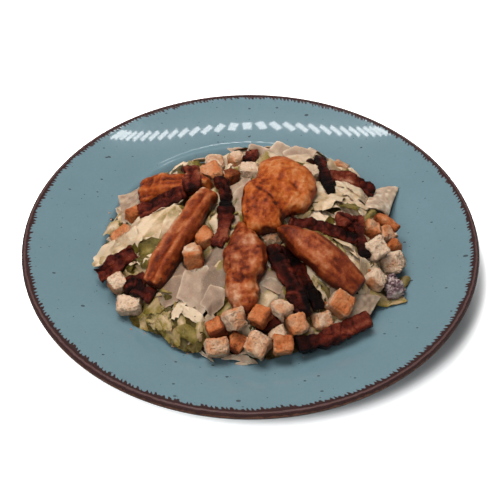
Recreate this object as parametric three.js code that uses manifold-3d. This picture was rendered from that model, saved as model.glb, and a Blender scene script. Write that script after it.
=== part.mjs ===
// A chicken caesar salad on its wide-rimmed pasta plate, in millimetres, +Z up.
// The origin is on the plate's axis, at the level of the surface that its foot stands on.
// -Y is the eater's side. The heap of leaves fills the well, and the chicken, bacon, croutons
// and cheese shavings lie on the heap.
import * as THREE from "three";
import { ConvexGeometry } from "three/addons/geometries/ConvexGeometry.js";
import { mergeVertices } from "three/addons/utils/BufferGeometryUtils.js";
import Module from "manifold-3d";

const wasm = await Module();
wasm.setup();

// ---- Driving dimensions ----

const GAP = 0.3; // clearance between touching pieces
const SIDES = 48; // facets round the plate
const SMOOTHING = 0.15; // details smaller than this are dropped where pieces are cut

const PLATE = {
  radius: 135,
  height: 45,
  wellRadius: 87.6, // the crease where the rim turns down into the well
  wellHeight: 33,
  floorRadius: 58,
  floorHeight: 9,
  creaseBlend: 1.2, // softness of the crease
  rimCurve: 1.3, // 1 is a straight cone
  wall: 5,
  lipRadius: 2.3,
  footOuter: 57,
  footWidth: 5,
  footRecess: 3,
  footFlare: 2.5,
};

const HEAP = {
  sides: 40,
  crown: 60, // height of the top of the leaves
  radius: 88, // mean outline
  towardsEater: 5, // the outline reaches further on the eater's side and less on the far side
  broadLobes: 1.5, // unevenness of the outline, five times round
  smallLobes: 1, // and nine times round
  lobesFrom: 50, // degrees from +X
  edge: 3, // thickness of the heap at its outline
  fullness: 0.65, // 1 is a gentle dome, less has steeper sides
  fullestTowards: 60, // degrees from +X
  fullnessSwing: 0.2,
  ripple: 1.5, // unevenness of the top
};

const CROUTON_EDGE = 12;
const CROUTON_CHAMFER = 1.3;
const CROUTON_UNEVEN = 0.05;
const BACON_WIDTH = 9;
const BACON_THICK = 3.4;
const SHAVING_THICK = 1.2;
const MEAT_BELOW = 0.8; // a piece of meat is this much flatter below than above

// ---- Materials ----

const material = (color, roughness) =>
  new THREE.MeshStandardMaterial({ color, roughness, metalness: 0 });
const MATERIALS = {
  glaze: material(0x7590a0, 0.15),
  leaves: material(0xc4b98a, 0.5),
  chicken: material(0xa8623a, 0.55),
  bacon: material(0x5c2a20, 0.4),
  crouton: material(0xd0a880, 0.9),
  cheese: material(0xd8c4a0, 0.6),
  redLeaf: material(0x5e444a, 0.6),
};

// ---- Small helpers ----

const { sin, cos, hypot, atan2, exp, log, min, max, abs, sign, PI } = Math;
const UP = new THREE.Vector3(0, 0, 1);
const radians = THREE.MathUtils.degToRad;

// A repeatable unevenness from -1 to 1 for piece number i, place k.
const wobble = (i, k) => sin(i * 12.9898 + k * 78.233 + 1.7 * sin(i * 3.7 + k));

const smoothMin = (a, b, k) => -k * log(exp(-a / k) + exp(-b / k));

// ---- Plate ----

function plateTop(r) {
  const { floorRadius, floorHeight, wellRadius, wellHeight } = PLATE;
  if (r <= floorRadius) return floorHeight;
  const along = (r - floorRadius) / (wellRadius - floorRadius);
  const wall = floorHeight + (wellHeight - floorHeight) * along ** 2;
  const out = (r - wellRadius) / (PLATE.radius - wellRadius);
  const rise = PLATE.height - PLATE.lipRadius * 0.2 - wellHeight;
  const rim = wellHeight + rise * sign(out) * abs(out) ** PLATE.rimCurve;
  return smoothMin(wall, max(rim, wellHeight - 2), PLATE.creaseBlend);
}

function plateNormal(r) {
  const step = 0.2;
  const slope = (plateTop(r + step) - plateTop(r - step)) / (2 * step);
  return new THREE.Vector2(-slope, 1).normalize();
}

const offsetPoint = (r, distance) =>
  new THREE.Vector2(r, plateTop(r)).addScaledVector(plateNormal(r), distance);

// Radii at which the plate's top and underside are sampled, closer together round the crease.
const wellStations = [58, 68, 77, 85];
const rimStations = [89, 93, 104, 120];
const underStations = [72, 82, 91, 110];

function plateProfile() {
  const { footOuter, footWidth, footRecess, footFlare, radius, height, lipRadius, wall } = PLATE;
  const footInner = footOuter - footWidth;
  const points = [
    new THREE.Vector2(0, footRecess),
    new THREE.Vector2(footInner, footRecess),
    new THREE.Vector2(footInner + 1, 0),
    new THREE.Vector2(footOuter - 1, 0),
    new THREE.Vector2(footOuter, 1),
    new THREE.Vector2(footOuter + footFlare, 4),
  ];
  for (const r of underStations) points.push(offsetPoint(r, -wall));
  const lipTurns = 3;
  for (let i = 0; i <= lipTurns; i++) {
    const turn = radians(-60 + (i * 180) / lipTurns);
    points.push(
      new THREE.Vector2(
        radius - lipRadius + lipRadius * cos(turn),
        height - lipRadius + lipRadius * sin(turn),
      ),
    );
  }
  for (const r of [...wellStations, ...rimStations].reverse())
    points.push(new THREE.Vector2(r, plateTop(r)));
  points.push(new THREE.Vector2(0, PLATE.floorHeight));
  return points;
}

const plateGeometry = new THREE.LatheGeometry(plateProfile(), SIDES).rotateX(PI / 2);

// ---- Heap of leaves ----

function heapRadius(angle) {
  const { radius, towardsEater } = HEAP;
  const broad = HEAP.broadLobes * cos(5 * (angle - radians(HEAP.lobesFrom)));
  const small = HEAP.smallLobes * sin(9 * angle + 2);
  return radius - towardsEater * sin(angle) + broad + small;
}

function heapTop(x, y) {
  const angle = atan2(y, x);
  const reach = heapRadius(angle);
  const t = min(1, hypot(x, y) / reach);
  const fullness = HEAP.fullness - HEAP.fullnessSwing * cos(angle - radians(HEAP.fullestTowards));
  const skirt = plateTop(reach) + HEAP.edge;
  const ripple = HEAP.ripple * sin(x / 7 + 1) * sin(y / 8 + 2) * (1 - t ** 4);
  return skirt + (HEAP.crown - skirt) * (1 - t * t) ** fullness + ripple;
}

// Where the heap's top is sampled, as fractions of its outline, and its underside, as radii.
const heapTopStations = [0.2, 0.4, 0.58, 0.73, 0.85, 0.94, 1];
const heapUnderStations = [89, 85, 74, 58];

// A closed skin over rings of points from the axis out over the top and back under to the axis.
function heapGeometry() {
  const positions = [0, 0, heapTop(0, 0)];
  const rings = [];
  const addRing = (place) => {
    rings.push(positions.length / 3);
    for (let i = 0; i < HEAP.sides; i++) positions.push(...place((i * 2 * PI) / HEAP.sides));
  };
  for (const t of heapTopStations)
    addRing((angle) => {
      const r = heapRadius(angle) * t;
      const [x, y] = [r * cos(angle), r * sin(angle)];
      return [x, y, heapTop(x, y)];
    });
  for (const r of [PLATE.radius, ...heapUnderStations])
    addRing((angle) => {
      const reach = min(r, heapRadius(angle));
      const under = offsetPoint(reach, 2 * GAP);
      return [under.x * cos(angle), under.x * sin(angle), under.y];
    });
  const foot = positions.length / 3;
  positions.push(0, 0, PLATE.floorHeight + 2 * GAP);
  const index = [];
  const next = (ring, i) => ring + ((i + 1) % HEAP.sides);
  for (let i = 0; i < HEAP.sides; i++) {
    index.push(0, rings[0] + i, next(rings[0], i));
    rings.slice(1).forEach((outer, k) => {
      const inner = rings[k];
      index.push(inner + i, outer + i, next(outer, i));
      index.push(inner + i, next(outer, i), next(inner, i));
    });
    const last = rings[rings.length - 1];
    index.push(foot, next(last, i), last + i);
  }
  const geometry = new THREE.BufferGeometry();
  geometry.setAttribute("position", new THREE.Float32BufferAttribute(positions, 3));
  geometry.setIndex(index);
  return geometry;
}

// ---- Pieces that lie on the heap ----

// Points given as [x, y, height above the leaves] become places in space.
const onHeap = ([x, y, lift]) => new THREE.Vector3(x, y, heapTop(x, y) + lift);

// Moves every vertex of a box or sphere geometry to place(vertex).
function mapped(geometry, place) {
  const position = geometry.getAttribute("position");
  const vertex = new THREE.Vector3();
  for (let i = 0; i < position.count; i++) {
    const moved = place(vertex.fromBufferAttribute(position, i).clone());
    position.setXYZ(i, moved.x, moved.y, moved.z);
  }
  return geometry;
}

// The directions along a route, across it and out of it, rolled about the route by roll degrees.
function routeFrame(curve, t, roll) {
  const along = curve.getTangent(t);
  const across = new THREE.Vector3().crossVectors(UP, along).normalize();
  const out = new THREE.Vector3().crossVectors(along, across);
  const turn = new THREE.Quaternion().setFromAxisAngle(along, radians(roll));
  return { along, across: across.applyQuaternion(turn), out: out.applyQuaternion(turn) };
}

// A strip of rectangular section along a route, such as a rasher cut into lardons.
function stripGeometry(strip, grow) {
  const { route, width = BACON_WIDTH, thick = BACON_THICK, roll = 0, twist = 0, seed } = strip;
  const curve = new THREE.CatmullRomCurve3(route.map(onHeap));
  return mapped(new THREE.BoxGeometry(1, 1, 1, 2 + 2 * route.length, 1, 1), (v) => {
    const t = v.x + 0.5;
    const { along, across, out } = routeFrame(curve, t, roll + twist * (t - 0.5));
    const uneven = 1 + 0.1 * sin(9 * t + seed) + 0.06 * sin(23 * t + 2 * seed);
    const buckle = 0.5 * sin(7 * t + seed);
    return curve
      .getPoint(t)
      .addScaledVector(along, 2 * v.x * (abs(v.x) === 0.5 ? grow : 0))
      .addScaledVector(across, v.y * (width * uneven + 2 * grow))
      .addScaledVector(out, v.z * (thick + 2 * grow) + buckle);
  });
}

// Makes a round section a little boxy.
const squared = (c) => sign(c) * abs(c) ** 0.8;

// A rounded piece of meat along a route. halfWidths are spaced evenly from end to end.
function meatGeometry(lobe, grow) {
  const { route, halfWidths, thick, blunt = 0.55, roll = 0, groove = 0, seed } = lobe;
  const curve = new THREE.CatmullRomCurve3(route.map(onHeap));
  const widths = new THREE.SplineCurve(halfWidths.map((w, i) => new THREE.Vector2(i, w)));
  return mapped(new THREE.SphereGeometry(1, 12, 10).rotateZ(PI / 2), (v) => {
    const t = (v.x + 1) / 2;
    const { along, across, out } = routeFrame(curve, t, roll);
    const round = hypot(v.y, v.z);
    const around = atan2(v.z, v.y);
    const full = round < 1e-6 ? 0 : round ** blunt;
    const lumps = 1 + 0.06 * sin(5 * t * PI + seed) * cos(3 * around + seed);
    const half = widths.getPoint(t).y * lumps + grow;
    const top = v.z > 0 ? 1 - groove * exp(-((v.y / 0.25) ** 2)) : MEAT_BELOW;
    return curve
      .getPoint(t)
      .addScaledVector(along, v.x * grow)
      .addScaledVector(across, squared(cos(around)) * full * half)
      .addScaledVector(out, squared(sin(around)) * full * top * (thick / 2 + grow));
  });
}

// A thin curled shaving of hard cheese between four corners, which go round from the first.
function shavingGeometry({ corners, curl }, grow) {
  const [a, b, c, d] = corners.map(onHeap);
  const side = d.clone().sub(a);
  const normal = b.clone().sub(a).cross(side).normalize();
  const centre = a.clone().add(b).add(c).add(d).multiplyScalar(0.25);
  return mapped(new THREE.BoxGeometry(1, 1, 1, 5, 2, 1), (v) => {
    const [s, t] = [v.x + 0.5, v.y + 0.5];
    const near = a.clone().lerp(b, s);
    const far = d.clone().lerp(c, s);
    const point = near.lerp(far, t);
    const outward = point.clone().sub(centre).normalize();
    const edge = max(abs(v.x), abs(v.y)) === 0.5 ? grow : 0;
    const bulge = curl * (1 - 4 * v.x * v.x) + 0.4 * curl * sin(5 * t + 3 * s);
    return point
      .addScaledVector(outward, edge)
      .addScaledVector(normal, bulge + v.z * (SHAVING_THICK + 2 * grow));
  });
}

// A frilly tuft: a ball whose surface rises and falls.
function tuftGeometry({ at, size, frill }, grow) {
  const centre = onHeap(at);
  return mapped(new THREE.SphereGeometry(1, 12, 8), (v) => {
    const upright = frill * sin(7 * atan2(v.y, v.x)) * (1 - v.z * v.z);
    const ridges = 1 + upright + frill * sin(9 * v.z + 1);
    return new THREE.Vector3(v.x * size[0], v.y * size[1], v.z * size[2])
      .multiplyScalar(ridges / 2)
      .addScaledVector(v, grow)
      .add(centre);
  });
}

// Where a crouton lies: tilted most of the way to the slope of the leaves, then tipped by its
// own angles.
function croutonPlacement({ at, turn = 0, tip = [0, 0] }) {
  const reach = CROUTON_EDGE / 3;
  const [x, y] = at;
  const slope = new THREE.Vector3(
    (heapTop(x - reach, y) - heapTop(x + reach, y)) / (2 * reach),
    (heapTop(x, y - reach) - heapTop(x, y + reach)) / (2 * reach),
    1.5,
  ).normalize();
  const lean = new THREE.Quaternion().setFromUnitVectors(UP, slope);
  const tipped = new THREE.Quaternion().setFromEuler(
    new THREE.Euler(radians(tip[0]), radians(tip[1]), radians(turn), "ZYX"),
  );
  return new THREE.Matrix4().compose(onHeap(at), lean.multiply(tipped), new THREE.Vector3(1, 1, 1));
}

// A cube of bread with chamfered edges and slightly uneven corners, about its own centre.
// Grown, it has plain edges.
function croutonGeometry({ edge = [1, 1, 1], seed }, grow) {
  const corners = [];
  for (const sx of [-1, 1])
    for (const sy of [-1, 1])
      for (const sz of [-1, 1]) {
        const which = sx + 2 * sy + 4 * sz;
        const uneven = (k) => 1 + CROUTON_UNEVEN * wobble(seed, which + k);
        const half = edge.map((e, k) => (e * CROUTON_EDGE * uneven(k)) / 2 + grow);
        for (let flat = 0; flat < 3; flat++) {
          const at = half.map((h, k) => (grow || k === flat ? h : h - CROUTON_CHAMFER));
          corners.push(new THREE.Vector3(sx * at[0], sy * at[1], sz * at[2]));
        }
      }
  return new ConvexGeometry(corners);
}

// ---- The layout: x, y and height above the leaves, in millimetres; angles in degrees ----

const CHICKEN = {
  chicken_top: {
    lobes: [
      {
        route: [[11, 36.5, 6], [21, 13.5, 6.5], [25, -10, 7]],
        halfWidths: [11, 17.5, 13], thick: 17, blunt: 0.45, seed: 2,
      },
      {
        route: [[5, 14, 6.5], [6, -6, 7], [8, -26, 6.5]],
        halfWidths: [9, 12, 14], thick: 17, blunt: 0.35, seed: 4,
      },
    ],
  },
  chicken_front: {
    lobes: [
      {
        route: [[-8, -18, 5], [-3, -40, 7.5], [-2, -61, 6.5]],
        halfWidths: [4, 12.5, 12], thick: 15, seed: 5,
      },
      {
        route: [[-4, -54, 5.5], [-4, -66, 6], [-3, -76, 5.5]],
        halfWidths: [11, 10, 6.5], thick: 12, seed: 7,
      },
    ],
  },
  chicken_left: {
    lobes: [
      {
        route: [[-24.5, 9, 5.5], [-32, -10.5, 5], [-44, -32, 6], [-56, -54, 6.5]],
        halfWidths: [7, 8, 8, 9, 9.5], thick: 14, blunt: 0.25, seed: 1, groove: 0.22, roll: 10,
      },
    ],
  },
  chicken_right: {
    lobes: [
      {
        route: [[15, -23, 4.5], [30, -33.5, 6.7], [45, -46, 6.5], [60, -57, 6.5]],
        halfWidths: [6, 9, 10, 10.5, 9.5], thick: 15, blunt: 0.3, seed: 3, roll: 10,
      },
    ],
  },
  chicken_back: {
    lobes: [
      {
        route: [[-67, 22.5, 1.5], [-52, 24.5, 2.2], [-36, 22, 3.5], [-24, 17, 3]],
        halfWidths: [12, 10.5, 8, 7], thick: 14, blunt: 0.25, seed: 6,
      },
    ],
  },
};

const BACON = {
  bacon_back_upright: {
    route: [[-36, 31, 11], [-35, 19.5, 12], [-34, 5, 10.5]],
    width: 9.5, seed: 1,
  },
  bacon_back_flat: {
    route: [[-66, 3, 5], [-51, 7, 6], [-38, 11, 6.5]],
    width: 10, roll: 10, seed: 2,
  },
  bacon_twisted: {
    route: [[-17.5, 18.5, 5.5], [-14.5, 7.5, 5], [-14.5, -5, 4.5], [-15, -20, 4], [-19, -34, 3]],
    width: 8.5, twist: 50, roll: -10, seed: 3,
  },
  bacon_left_edge: {
    route: [[-87, -37, 3.7], [-77.5, -33, 3.7], [-66, -28, 4]],
    width: 10, roll: 22, seed: 4,
  },
  bacon_left_under: {
    route: [[-71, -48, 3], [-65, -47, 3.5], [-59, -46, 2.5]],
    width: 10, roll: 15, seed: 5,
  },
  bacon_left_end: {
    route: [[-65, -50, 4.5], [-59, -54, 4.5], [-52.5, -58.5, 4]],
    width: 9.5, roll: 18, seed: 6,
  },
  bacon_far: { route: [[-2, 46.5, -1], [0.5, 52, 1], [2, 58.5, 1.8]], width: 7, thick: 7, seed: 7 },
  bacon_far_right_dark: {
    route: [[43, 52, 3], [44, 38, 4.5], [46, 27, 4.5], [49, 14, 4.5]],
    width: 6.5, twist: 40, seed: 8,
  },
  bacon_far_right: {
    route: [[48, 35.5, -0.8], [61, 36.5, 1.2], [77, 32, 7.2]],
    width: 9.5, thick: 5, roll: 12, seed: 9,
  },
  bacon_thin: {
    route: [[22, -12.5, 2], [36, -15, 1.6], [48, -18, 3], [61, -23, 3]],
    width: 8, roll: 25, seed: 10,
  },
  bacon_right_fold: {
    route: [[49, -11.5, 3.5], [55, -12.5, 4.5], [60, -16, 4]],
    width: 12, roll: 10, seed: 11,
  },
  bacon_right_dark: {
    route: [[62, -6, 5.5], [63, -19, 5], [65, -33, 2.5]],
    width: 6, thick: 4.5, seed: 12,
  },
  bacon_front_left: {
    route: [[11, -33, 4.5], [16, -45, 4.5], [22, -58, 6], [30, -75, 4.5]],
    twist: 30, roll: 10, seed: 13,
  },
  bacon_front_right: {
    route: [[20, -31, 1], [26, -45, 2], [32, -58, 3], [37, -70, 4.5]],
    twist: -25, roll: -15, seed: 14,
  },
  bacon_near_edge: {
    route: [[24, -89, 5], [37, -85, 5], [50, -77.8, 5.2], [64.5, -69.8, 5.4]],
    width: 9.5, thick: 4.6, roll: 15, seed: 15,
  },
  bacon_near_under: { route: [[3, -80, 1], [9, -78, 1.5], [15, -75, 1]], seed: 16 },
};

const CROUTONS = [
  { at: [-22.5, 49, -2], turn: 10, tip: [8, 5], edge: [1, 1, 0.85] },
  { at: [-24, 29.5, 0.5], turn: 15, tip: [12, -8], edge: [1.25, 1.2, 1.2] },
  { at: [-12.5, 25, 1.5], turn: 40, tip: [-6, 12], edge: [0.76, 0.76, 0.8] },
  { at: [-9, 52, -0.5], turn: 35, tip: [15, 4], edge: [0.82, 0.82, 0.85] },
  { at: [-1, 35, 0.5], turn: 5, tip: [-6, 10], edge: [0.95, 0.9, 0.75] },
  { at: [37, 33, 0.5], turn: 30, tip: [10, 10], edge: [0.9, 0.9, 0.9] },
  { at: [58, 57, -0.5], turn: -20, tip: [14, 12], edge: [0.9, 0.65, 0.55] },
  { at: [-70, 7, 2], turn: -50, tip: [-14, 10], edge: [0.7, 0.85, 0.7] },
  { at: [-76.5, -6, -0.8], turn: 15, tip: [6, -16], edge: [1.05, 0.65, 0.5] },
  { at: [-74.5, -44.5, 3.7], turn: 35, tip: [14, 10], edge: [0.86, 0.86, 0.88] },
  { at: [-67, -59, 2.5], turn: -5, tip: [6, 4], edge: [1.1, 0.85, 0.75] },
  { at: [-27, -24, 1], turn: 25, tip: [12, 6], edge: [0.95, 0.92, 0.92] },
  { at: [-32, -37, 2], turn: 10, tip: [-16, 8], edge: [0.85, 1, 1.1] },
  { at: [70.3, -9.3, 1.4], turn: -5, tip: [10, 16], edge: [0.82, 0.8, 0.86] },
  { at: [81, -0.5, 2.8], turn: -20, tip: [4, 6], edge: [1.4, 0.52, 0.52] },
  { at: [78.5, -9.5, 0], turn: 30, tip: [10, 4], edge: [0.85, 0.85, 0.8] },
  { at: [71, -25.8, 2], turn: 35, tip: [16, -10], edge: [1.06, 1.02, 1.02] },
  { at: [84.5, -15.5, 0.8], turn: 0, tip: [8, 20], edge: [0.76, 0.55, 0.55] },
  { at: [82.6, -27.8, 1.3], turn: 42, tip: [20, 8], edge: [0.93, 0.93, 1] },
  { at: [70, -45, 2], turn: -28, tip: [-10, 12], edge: [0.9, 0.85, 0.85] },
  { at: [49, -64, 3.5], turn: -30, tip: [4, 8], edge: [1.05, 1.05, 1.05] },
  { at: [39, -72, 0], turn: 15, tip: [12, 8], edge: [0.9, 0.85, 0.8] },
  { at: [25, -78, 2.5], turn: 20, tip: [8, -10], edge: [0.9, 0.9, 0.9] },
  { at: [17, -71, 2.2], turn: 40, tip: [-12, 10], edge: [0.8, 0.84, 0.8] },
  { at: [14, -81, -0.5], turn: 5, tip: [10, 0], edge: [0.75, 0.8, 0.8] },
  { at: [5.2, -77, 6.3], turn: -32, tip: [10, -10], edge: [0.9, 0.9, 0.9] },
  { at: [-8.2, -78.7, 6.8], turn: 38, tip: [30, 14], edge: [0.92, 0.92, 0.92] },
  { at: [-18, -80, 2], turn: 18, tip: [-8, -12], edge: [0.9, 0.84, 0.86] },
  { at: [-18, -89.5, 3.8], turn: 8, tip: [10, 6], edge: [1.05, 0.86, 0.84] },
  { at: [-8, -86, -0.5], turn: -28, tip: [14, 20], edge: [0.85, 0.85, 0.85] },
  { at: [4, -90, 3], turn: -32, tip: [12, -6], edge: [1, 0.98, 0.9] },
  { at: [17, -89, 3.5], turn: 3, tip: [6, -4], edge: [0.95, 0.9, 0.9] },
  { at: [11, -23, -1.5], turn: 20, tip: [6, 6], edge: [0.9, 0.9, 0.9] },
];

const CHEESE = {
  cheese_right: { corners: [[68, 9, 1], [84, 12, 4.5], [94, 42, 6.2], [76.5, 40, 5.2]], curl: 2 },
  cheese_left: { corners: [[-78, 4, 0.5], [-66, 14, 1], [-66, 42, 8.5], [-83, 34, 4.5]], curl: -3 },
  cheese_near: { corners: [[45, -73, 0.5], [66, -65, 2.5], [73, -53, 2], [56, -56, 1]], curl: 1 },
};

const RED_LEAF = { red_leaf: { at: [80.7, -44, 1.8], size: [14.2, 19.5, 12], frill: 0.1 } };

// ---- Solids: each piece is cut clear of those that lie on it or press into it ----

function solidOf(geometry) {
  const bare = new THREE.BufferGeometry().setAttribute("position", geometry.getAttribute("position"));
  bare.setIndex(geometry.index);
  const merged = mergeVertices(bare, 1e-4);
  return new wasm.Manifold(
    new wasm.Mesh({
      numProp: 3,
      vertProperties: merged.getAttribute("position").array,
      triVerts: new Uint32Array(merged.index.array),
    }),
  );
}

function geometryOf(solid) {
  const mesh = solid.getMesh();
  const positions = new Float32Array(mesh.numVert * 3);
  for (let i = 0; i < mesh.numVert; i++)
    positions.set(mesh.vertProperties.subarray(i * mesh.numProp, i * mesh.numProp + 3), i * 3);
  const geometry = new THREE.BufferGeometry();
  geometry.setAttribute("position", new THREE.BufferAttribute(positions, 3));
  geometry.setIndex(new THREE.BufferAttribute(mesh.triVerts, 1));
  return geometry;
}

const largest = (solid) =>
  solid.decompose().reduce((best, one) => (one.volume() > best.volume() ? one : best));

// What is left of a solid after the cutters, without chips and without detail too small to matter.
function cutBack(solid, cutters) {
  const cut = cutters.reduce((rest, cutter) => largest(rest.subtract(cutter)), solid);
  return largest(cut.simplify(SMOOTHING));
}

const unionOf = (geometries) => wasm.Manifold.union(geometries.map(solidOf));

const plateSolid = solidOf(plateGeometry);

// How far a piece must rise to stay clear of the plate.
function clearance(solid) {
  let rise = 0;
  while (solid.translate([0, 0, rise - GAP]).intersect(plateSolid).volume() > 0) rise += GAP;
  return rise;
}

// Every piece on the heap has its own solid, and a slightly larger one that cuts its neighbours back.
function pieceOf(name, slot, make, placement = new THREE.Matrix4()) {
  const placed = (grow) => unionOf(make(grow).map((g) => g.applyMatrix4(placement)));
  const solid = placed(0);
  const rise = [0, 0, clearance(solid)];
  const cutter = placed(GAP).translate(rise);
  return { name, slot, placement, solid: solid.translate(rise), cutter };
}

const pieces = [
  ...Object.entries(CHICKEN).map(([name, { lobes }]) =>
    pieceOf(name, "chicken", (grow) => lobes.map((lobe) => meatGeometry(lobe, grow))),
  ),
  ...Object.entries(BACON).map(([name, strip]) =>
    pieceOf(name, "bacon", (grow) => [stripGeometry(strip, grow)]),
  ),
  ...CROUTONS.map((spec, i) =>
    pieceOf(
      "crouton_" + String(i + 1).padStart(2, "0"),
      "crouton",
      (grow) => [croutonGeometry({ ...spec, seed: i + 1 }, grow)],
      croutonPlacement(spec),
    ),
  ),
  ...Object.entries(RED_LEAF).map(([name, tuft]) =>
    pieceOf(name, "redLeaf", (grow) => [tuftGeometry(tuft, grow)]),
  ),
  ...Object.entries(CHEESE).map(([name, corners]) =>
    pieceOf(name, "cheese", (grow) => [shavingGeometry(corners, grow)]),
  ),
];

// Where two pieces press into each other, the later one in the list gives way.
pieces.forEach((piece, i) => {
  const above = pieces.slice(0, i).filter((other) => other.cutter.intersect(piece.solid).volume() > 0);
  piece.solid = cutBack(
    piece.solid,
    above.map((other) => other.cutter),
  );
});

const heap = cutBack(
  solidOf(heapGeometry()),
  pieces.map((piece) => piece.cutter),
);

// ---- Scene ----

const group = new THREE.Group();

function addMesh(name, geometry, slot, placement = new THREE.Matrix4()) {
  const mesh = new THREE.Mesh(geometry.applyMatrix4(placement.clone().invert()), MATERIALS[slot]);
  mesh.name = name;
  mesh.applyMatrix4(placement);
  group.add(mesh);
}

addMesh("plate", plateGeometry, "glaze");
addMesh("salad", geometryOf(heap), "leaves");
for (const { name, slot, solid, placement } of pieces)
  addMesh(name, geometryOf(solid), slot, placement);

export default group;
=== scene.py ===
"""The looks of a chicken caesar salad on a blue-glazed plate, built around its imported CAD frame.

Blender 4.5, metres, +Z up, the eater's side at -Y. The sizes below are in millimetres.
"""

import math

import bpy
import numpy as np
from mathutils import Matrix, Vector
from mathutils.bvhtree import BVHTree


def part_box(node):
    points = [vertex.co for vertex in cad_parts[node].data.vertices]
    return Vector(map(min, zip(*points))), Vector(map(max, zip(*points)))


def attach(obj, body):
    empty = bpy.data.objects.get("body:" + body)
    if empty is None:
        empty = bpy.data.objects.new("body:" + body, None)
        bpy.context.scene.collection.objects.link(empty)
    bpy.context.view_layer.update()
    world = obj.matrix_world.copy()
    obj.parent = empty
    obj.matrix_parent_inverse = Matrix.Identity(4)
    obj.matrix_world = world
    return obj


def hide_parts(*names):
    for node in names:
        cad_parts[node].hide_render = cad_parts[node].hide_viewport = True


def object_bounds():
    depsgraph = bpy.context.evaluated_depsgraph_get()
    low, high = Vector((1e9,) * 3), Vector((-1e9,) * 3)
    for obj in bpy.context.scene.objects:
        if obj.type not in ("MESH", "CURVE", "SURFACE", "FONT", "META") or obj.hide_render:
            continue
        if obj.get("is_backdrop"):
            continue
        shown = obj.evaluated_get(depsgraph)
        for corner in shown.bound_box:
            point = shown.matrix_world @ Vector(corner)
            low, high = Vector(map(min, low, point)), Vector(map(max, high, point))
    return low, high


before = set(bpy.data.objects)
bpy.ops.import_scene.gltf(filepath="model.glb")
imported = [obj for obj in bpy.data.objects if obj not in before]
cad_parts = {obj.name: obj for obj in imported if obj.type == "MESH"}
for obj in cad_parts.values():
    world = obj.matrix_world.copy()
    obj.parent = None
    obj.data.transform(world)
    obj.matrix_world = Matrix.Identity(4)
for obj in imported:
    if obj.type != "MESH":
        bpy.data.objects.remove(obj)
cad_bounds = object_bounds()

MM = 0.001
SEED = 7

# ---- Camera and light ----

CAMERA_DISTANCE = 510
CAMERA_ELEVATION = 45.3  # degrees above the table
CAMERA_AIM = (-0.3, -20.2, 44.7)
FOCAL_LENGTH_PX = 877  # in the 500-pixel frame
FRAME_PX = 500
SENSOR_MM = 36

SKY = 0.19
LIGHT_AIM = (0, 0, 30)
KEY = {"at": (-230, 200, 1120), "size": 800, "power": 23}
FILL = {"at": (-350, -750, 800), "size": 500, "power": 6}
BACKDROP_RADIUS = 4500
BACKDROP_HEIGHT = 6000
FLOOR_DROP = 0.1  # how far it lies below the foot

# A slatted lamp overhead, whose cells show as a bright band on the far rim of the plate.
# They stand along part of an ellipse, closer, longer and more slanted towards its ends.
LAMP = {
    "cells": 29,
    "middle": (5, 700),
    "half": (100, 126),
    "height": 1200,
    "turn": 117,  # how far its ends lie round the ellipse from its near side, in degrees
    "cell_width": (12, 5.6),
    "cell_length": (15, 30),
    "slant": 50,  # degrees
    "slant_after": 25,  # over how much of the turn that grows
    "crowding": 0.29,  # how much closer they stand at its ends
    "brightness": 11,
}


def at_mm(*point):
    return Vector(point) * MM


def aim(thing, target):
    thing.rotation_euler = (target - thing.location).to_track_quat("-Z", "Y").to_euler()


def link(thing):
    bpy.context.scene.collection.objects.link(thing)
    return thing


def add_camera():
    camera = link(bpy.data.objects.new("camera", bpy.data.cameras.new("camera")))
    camera.data.sensor_width = SENSOR_MM
    camera.data.lens = SENSOR_MM * FOCAL_LENGTH_PX / FRAME_PX
    camera.data.clip_end = 20
    target = at_mm(*CAMERA_AIM)
    tilt = math.radians(CAMERA_ELEVATION)
    camera.location = target + CAMERA_DISTANCE * MM * Vector((0, -math.cos(tilt), math.sin(tilt)))
    aim(camera, target)
    bpy.context.scene.camera = camera


def area_light(name, place, size, power):
    light = bpy.data.lights.new(name, "AREA")
    if isinstance(size, tuple):
        light.shape = "RECTANGLE"
        light.size, light.size_y = size[0] * MM, size[1] * MM
    else:
        light.size = size * MM
    light.energy = power
    lamp = link(bpy.data.objects.new(name, light))
    lamp.location = at_mm(*place)
    aim(lamp, at_mm(*LIGHT_AIM))
    return lamp


def add_lamp_cells():
    (mid_x, mid_y), (half_x, half_y) = LAMP["middle"], LAMP["half"]
    last = (LAMP["cells"] - 1) / 2
    for i in range(LAMP["cells"]):
        k = i / last - 1
        turn = math.radians(LAMP["turn"] * k * (1 + LAMP["crowding"] * (1 - k**2)))
        width = np.interp(abs(k), (0, 1), LAMP["cell_width"])
        length = np.interp(abs(k), (0, 1), LAMP["cell_length"])
        power = LAMP["brightness"] * math.pi * width * length * MM**2
        place = (mid_x + half_x * math.sin(turn), mid_y - half_y * math.cos(turn), LAMP["height"])
        cell = area_light(f"lamp_cell_{i:02d}", place, (width, length), power)
        onward = math.atan2(half_y * math.sin(turn), half_x * math.cos(turn))
        slant = math.radians(LAMP["slant"]) * math.tanh(turn / math.radians(LAMP["slant_after"]))
        cell.rotation_euler = (0, 0, onward + slant)


def add_light():
    scene = bpy.context.scene
    scene.view_settings.view_transform = "Standard"
    world = bpy.data.worlds.new("studio")
    world.use_nodes = True
    world.node_tree.nodes["Background"].inputs["Color"].default_value = (1, 1, 1, 1)
    world.node_tree.nodes["Background"].inputs["Strength"].default_value = SKY
    scene.world = world
    for name, lamp in (("key", KEY), ("fill", FILL)):
        softbox = area_light(name, lamp["at"], lamp["size"], lamp["power"])
        softbox.visible_glossy = False
    add_lamp_cells()


# ---- Noise ----

CREASE_WIDTH = 0.09  # as a share of the noise's height
NOISE_SHIFT, PORE_SHIFT = 37.3, 51.7  # keep the grid of cells off the middle of the plate


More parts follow.
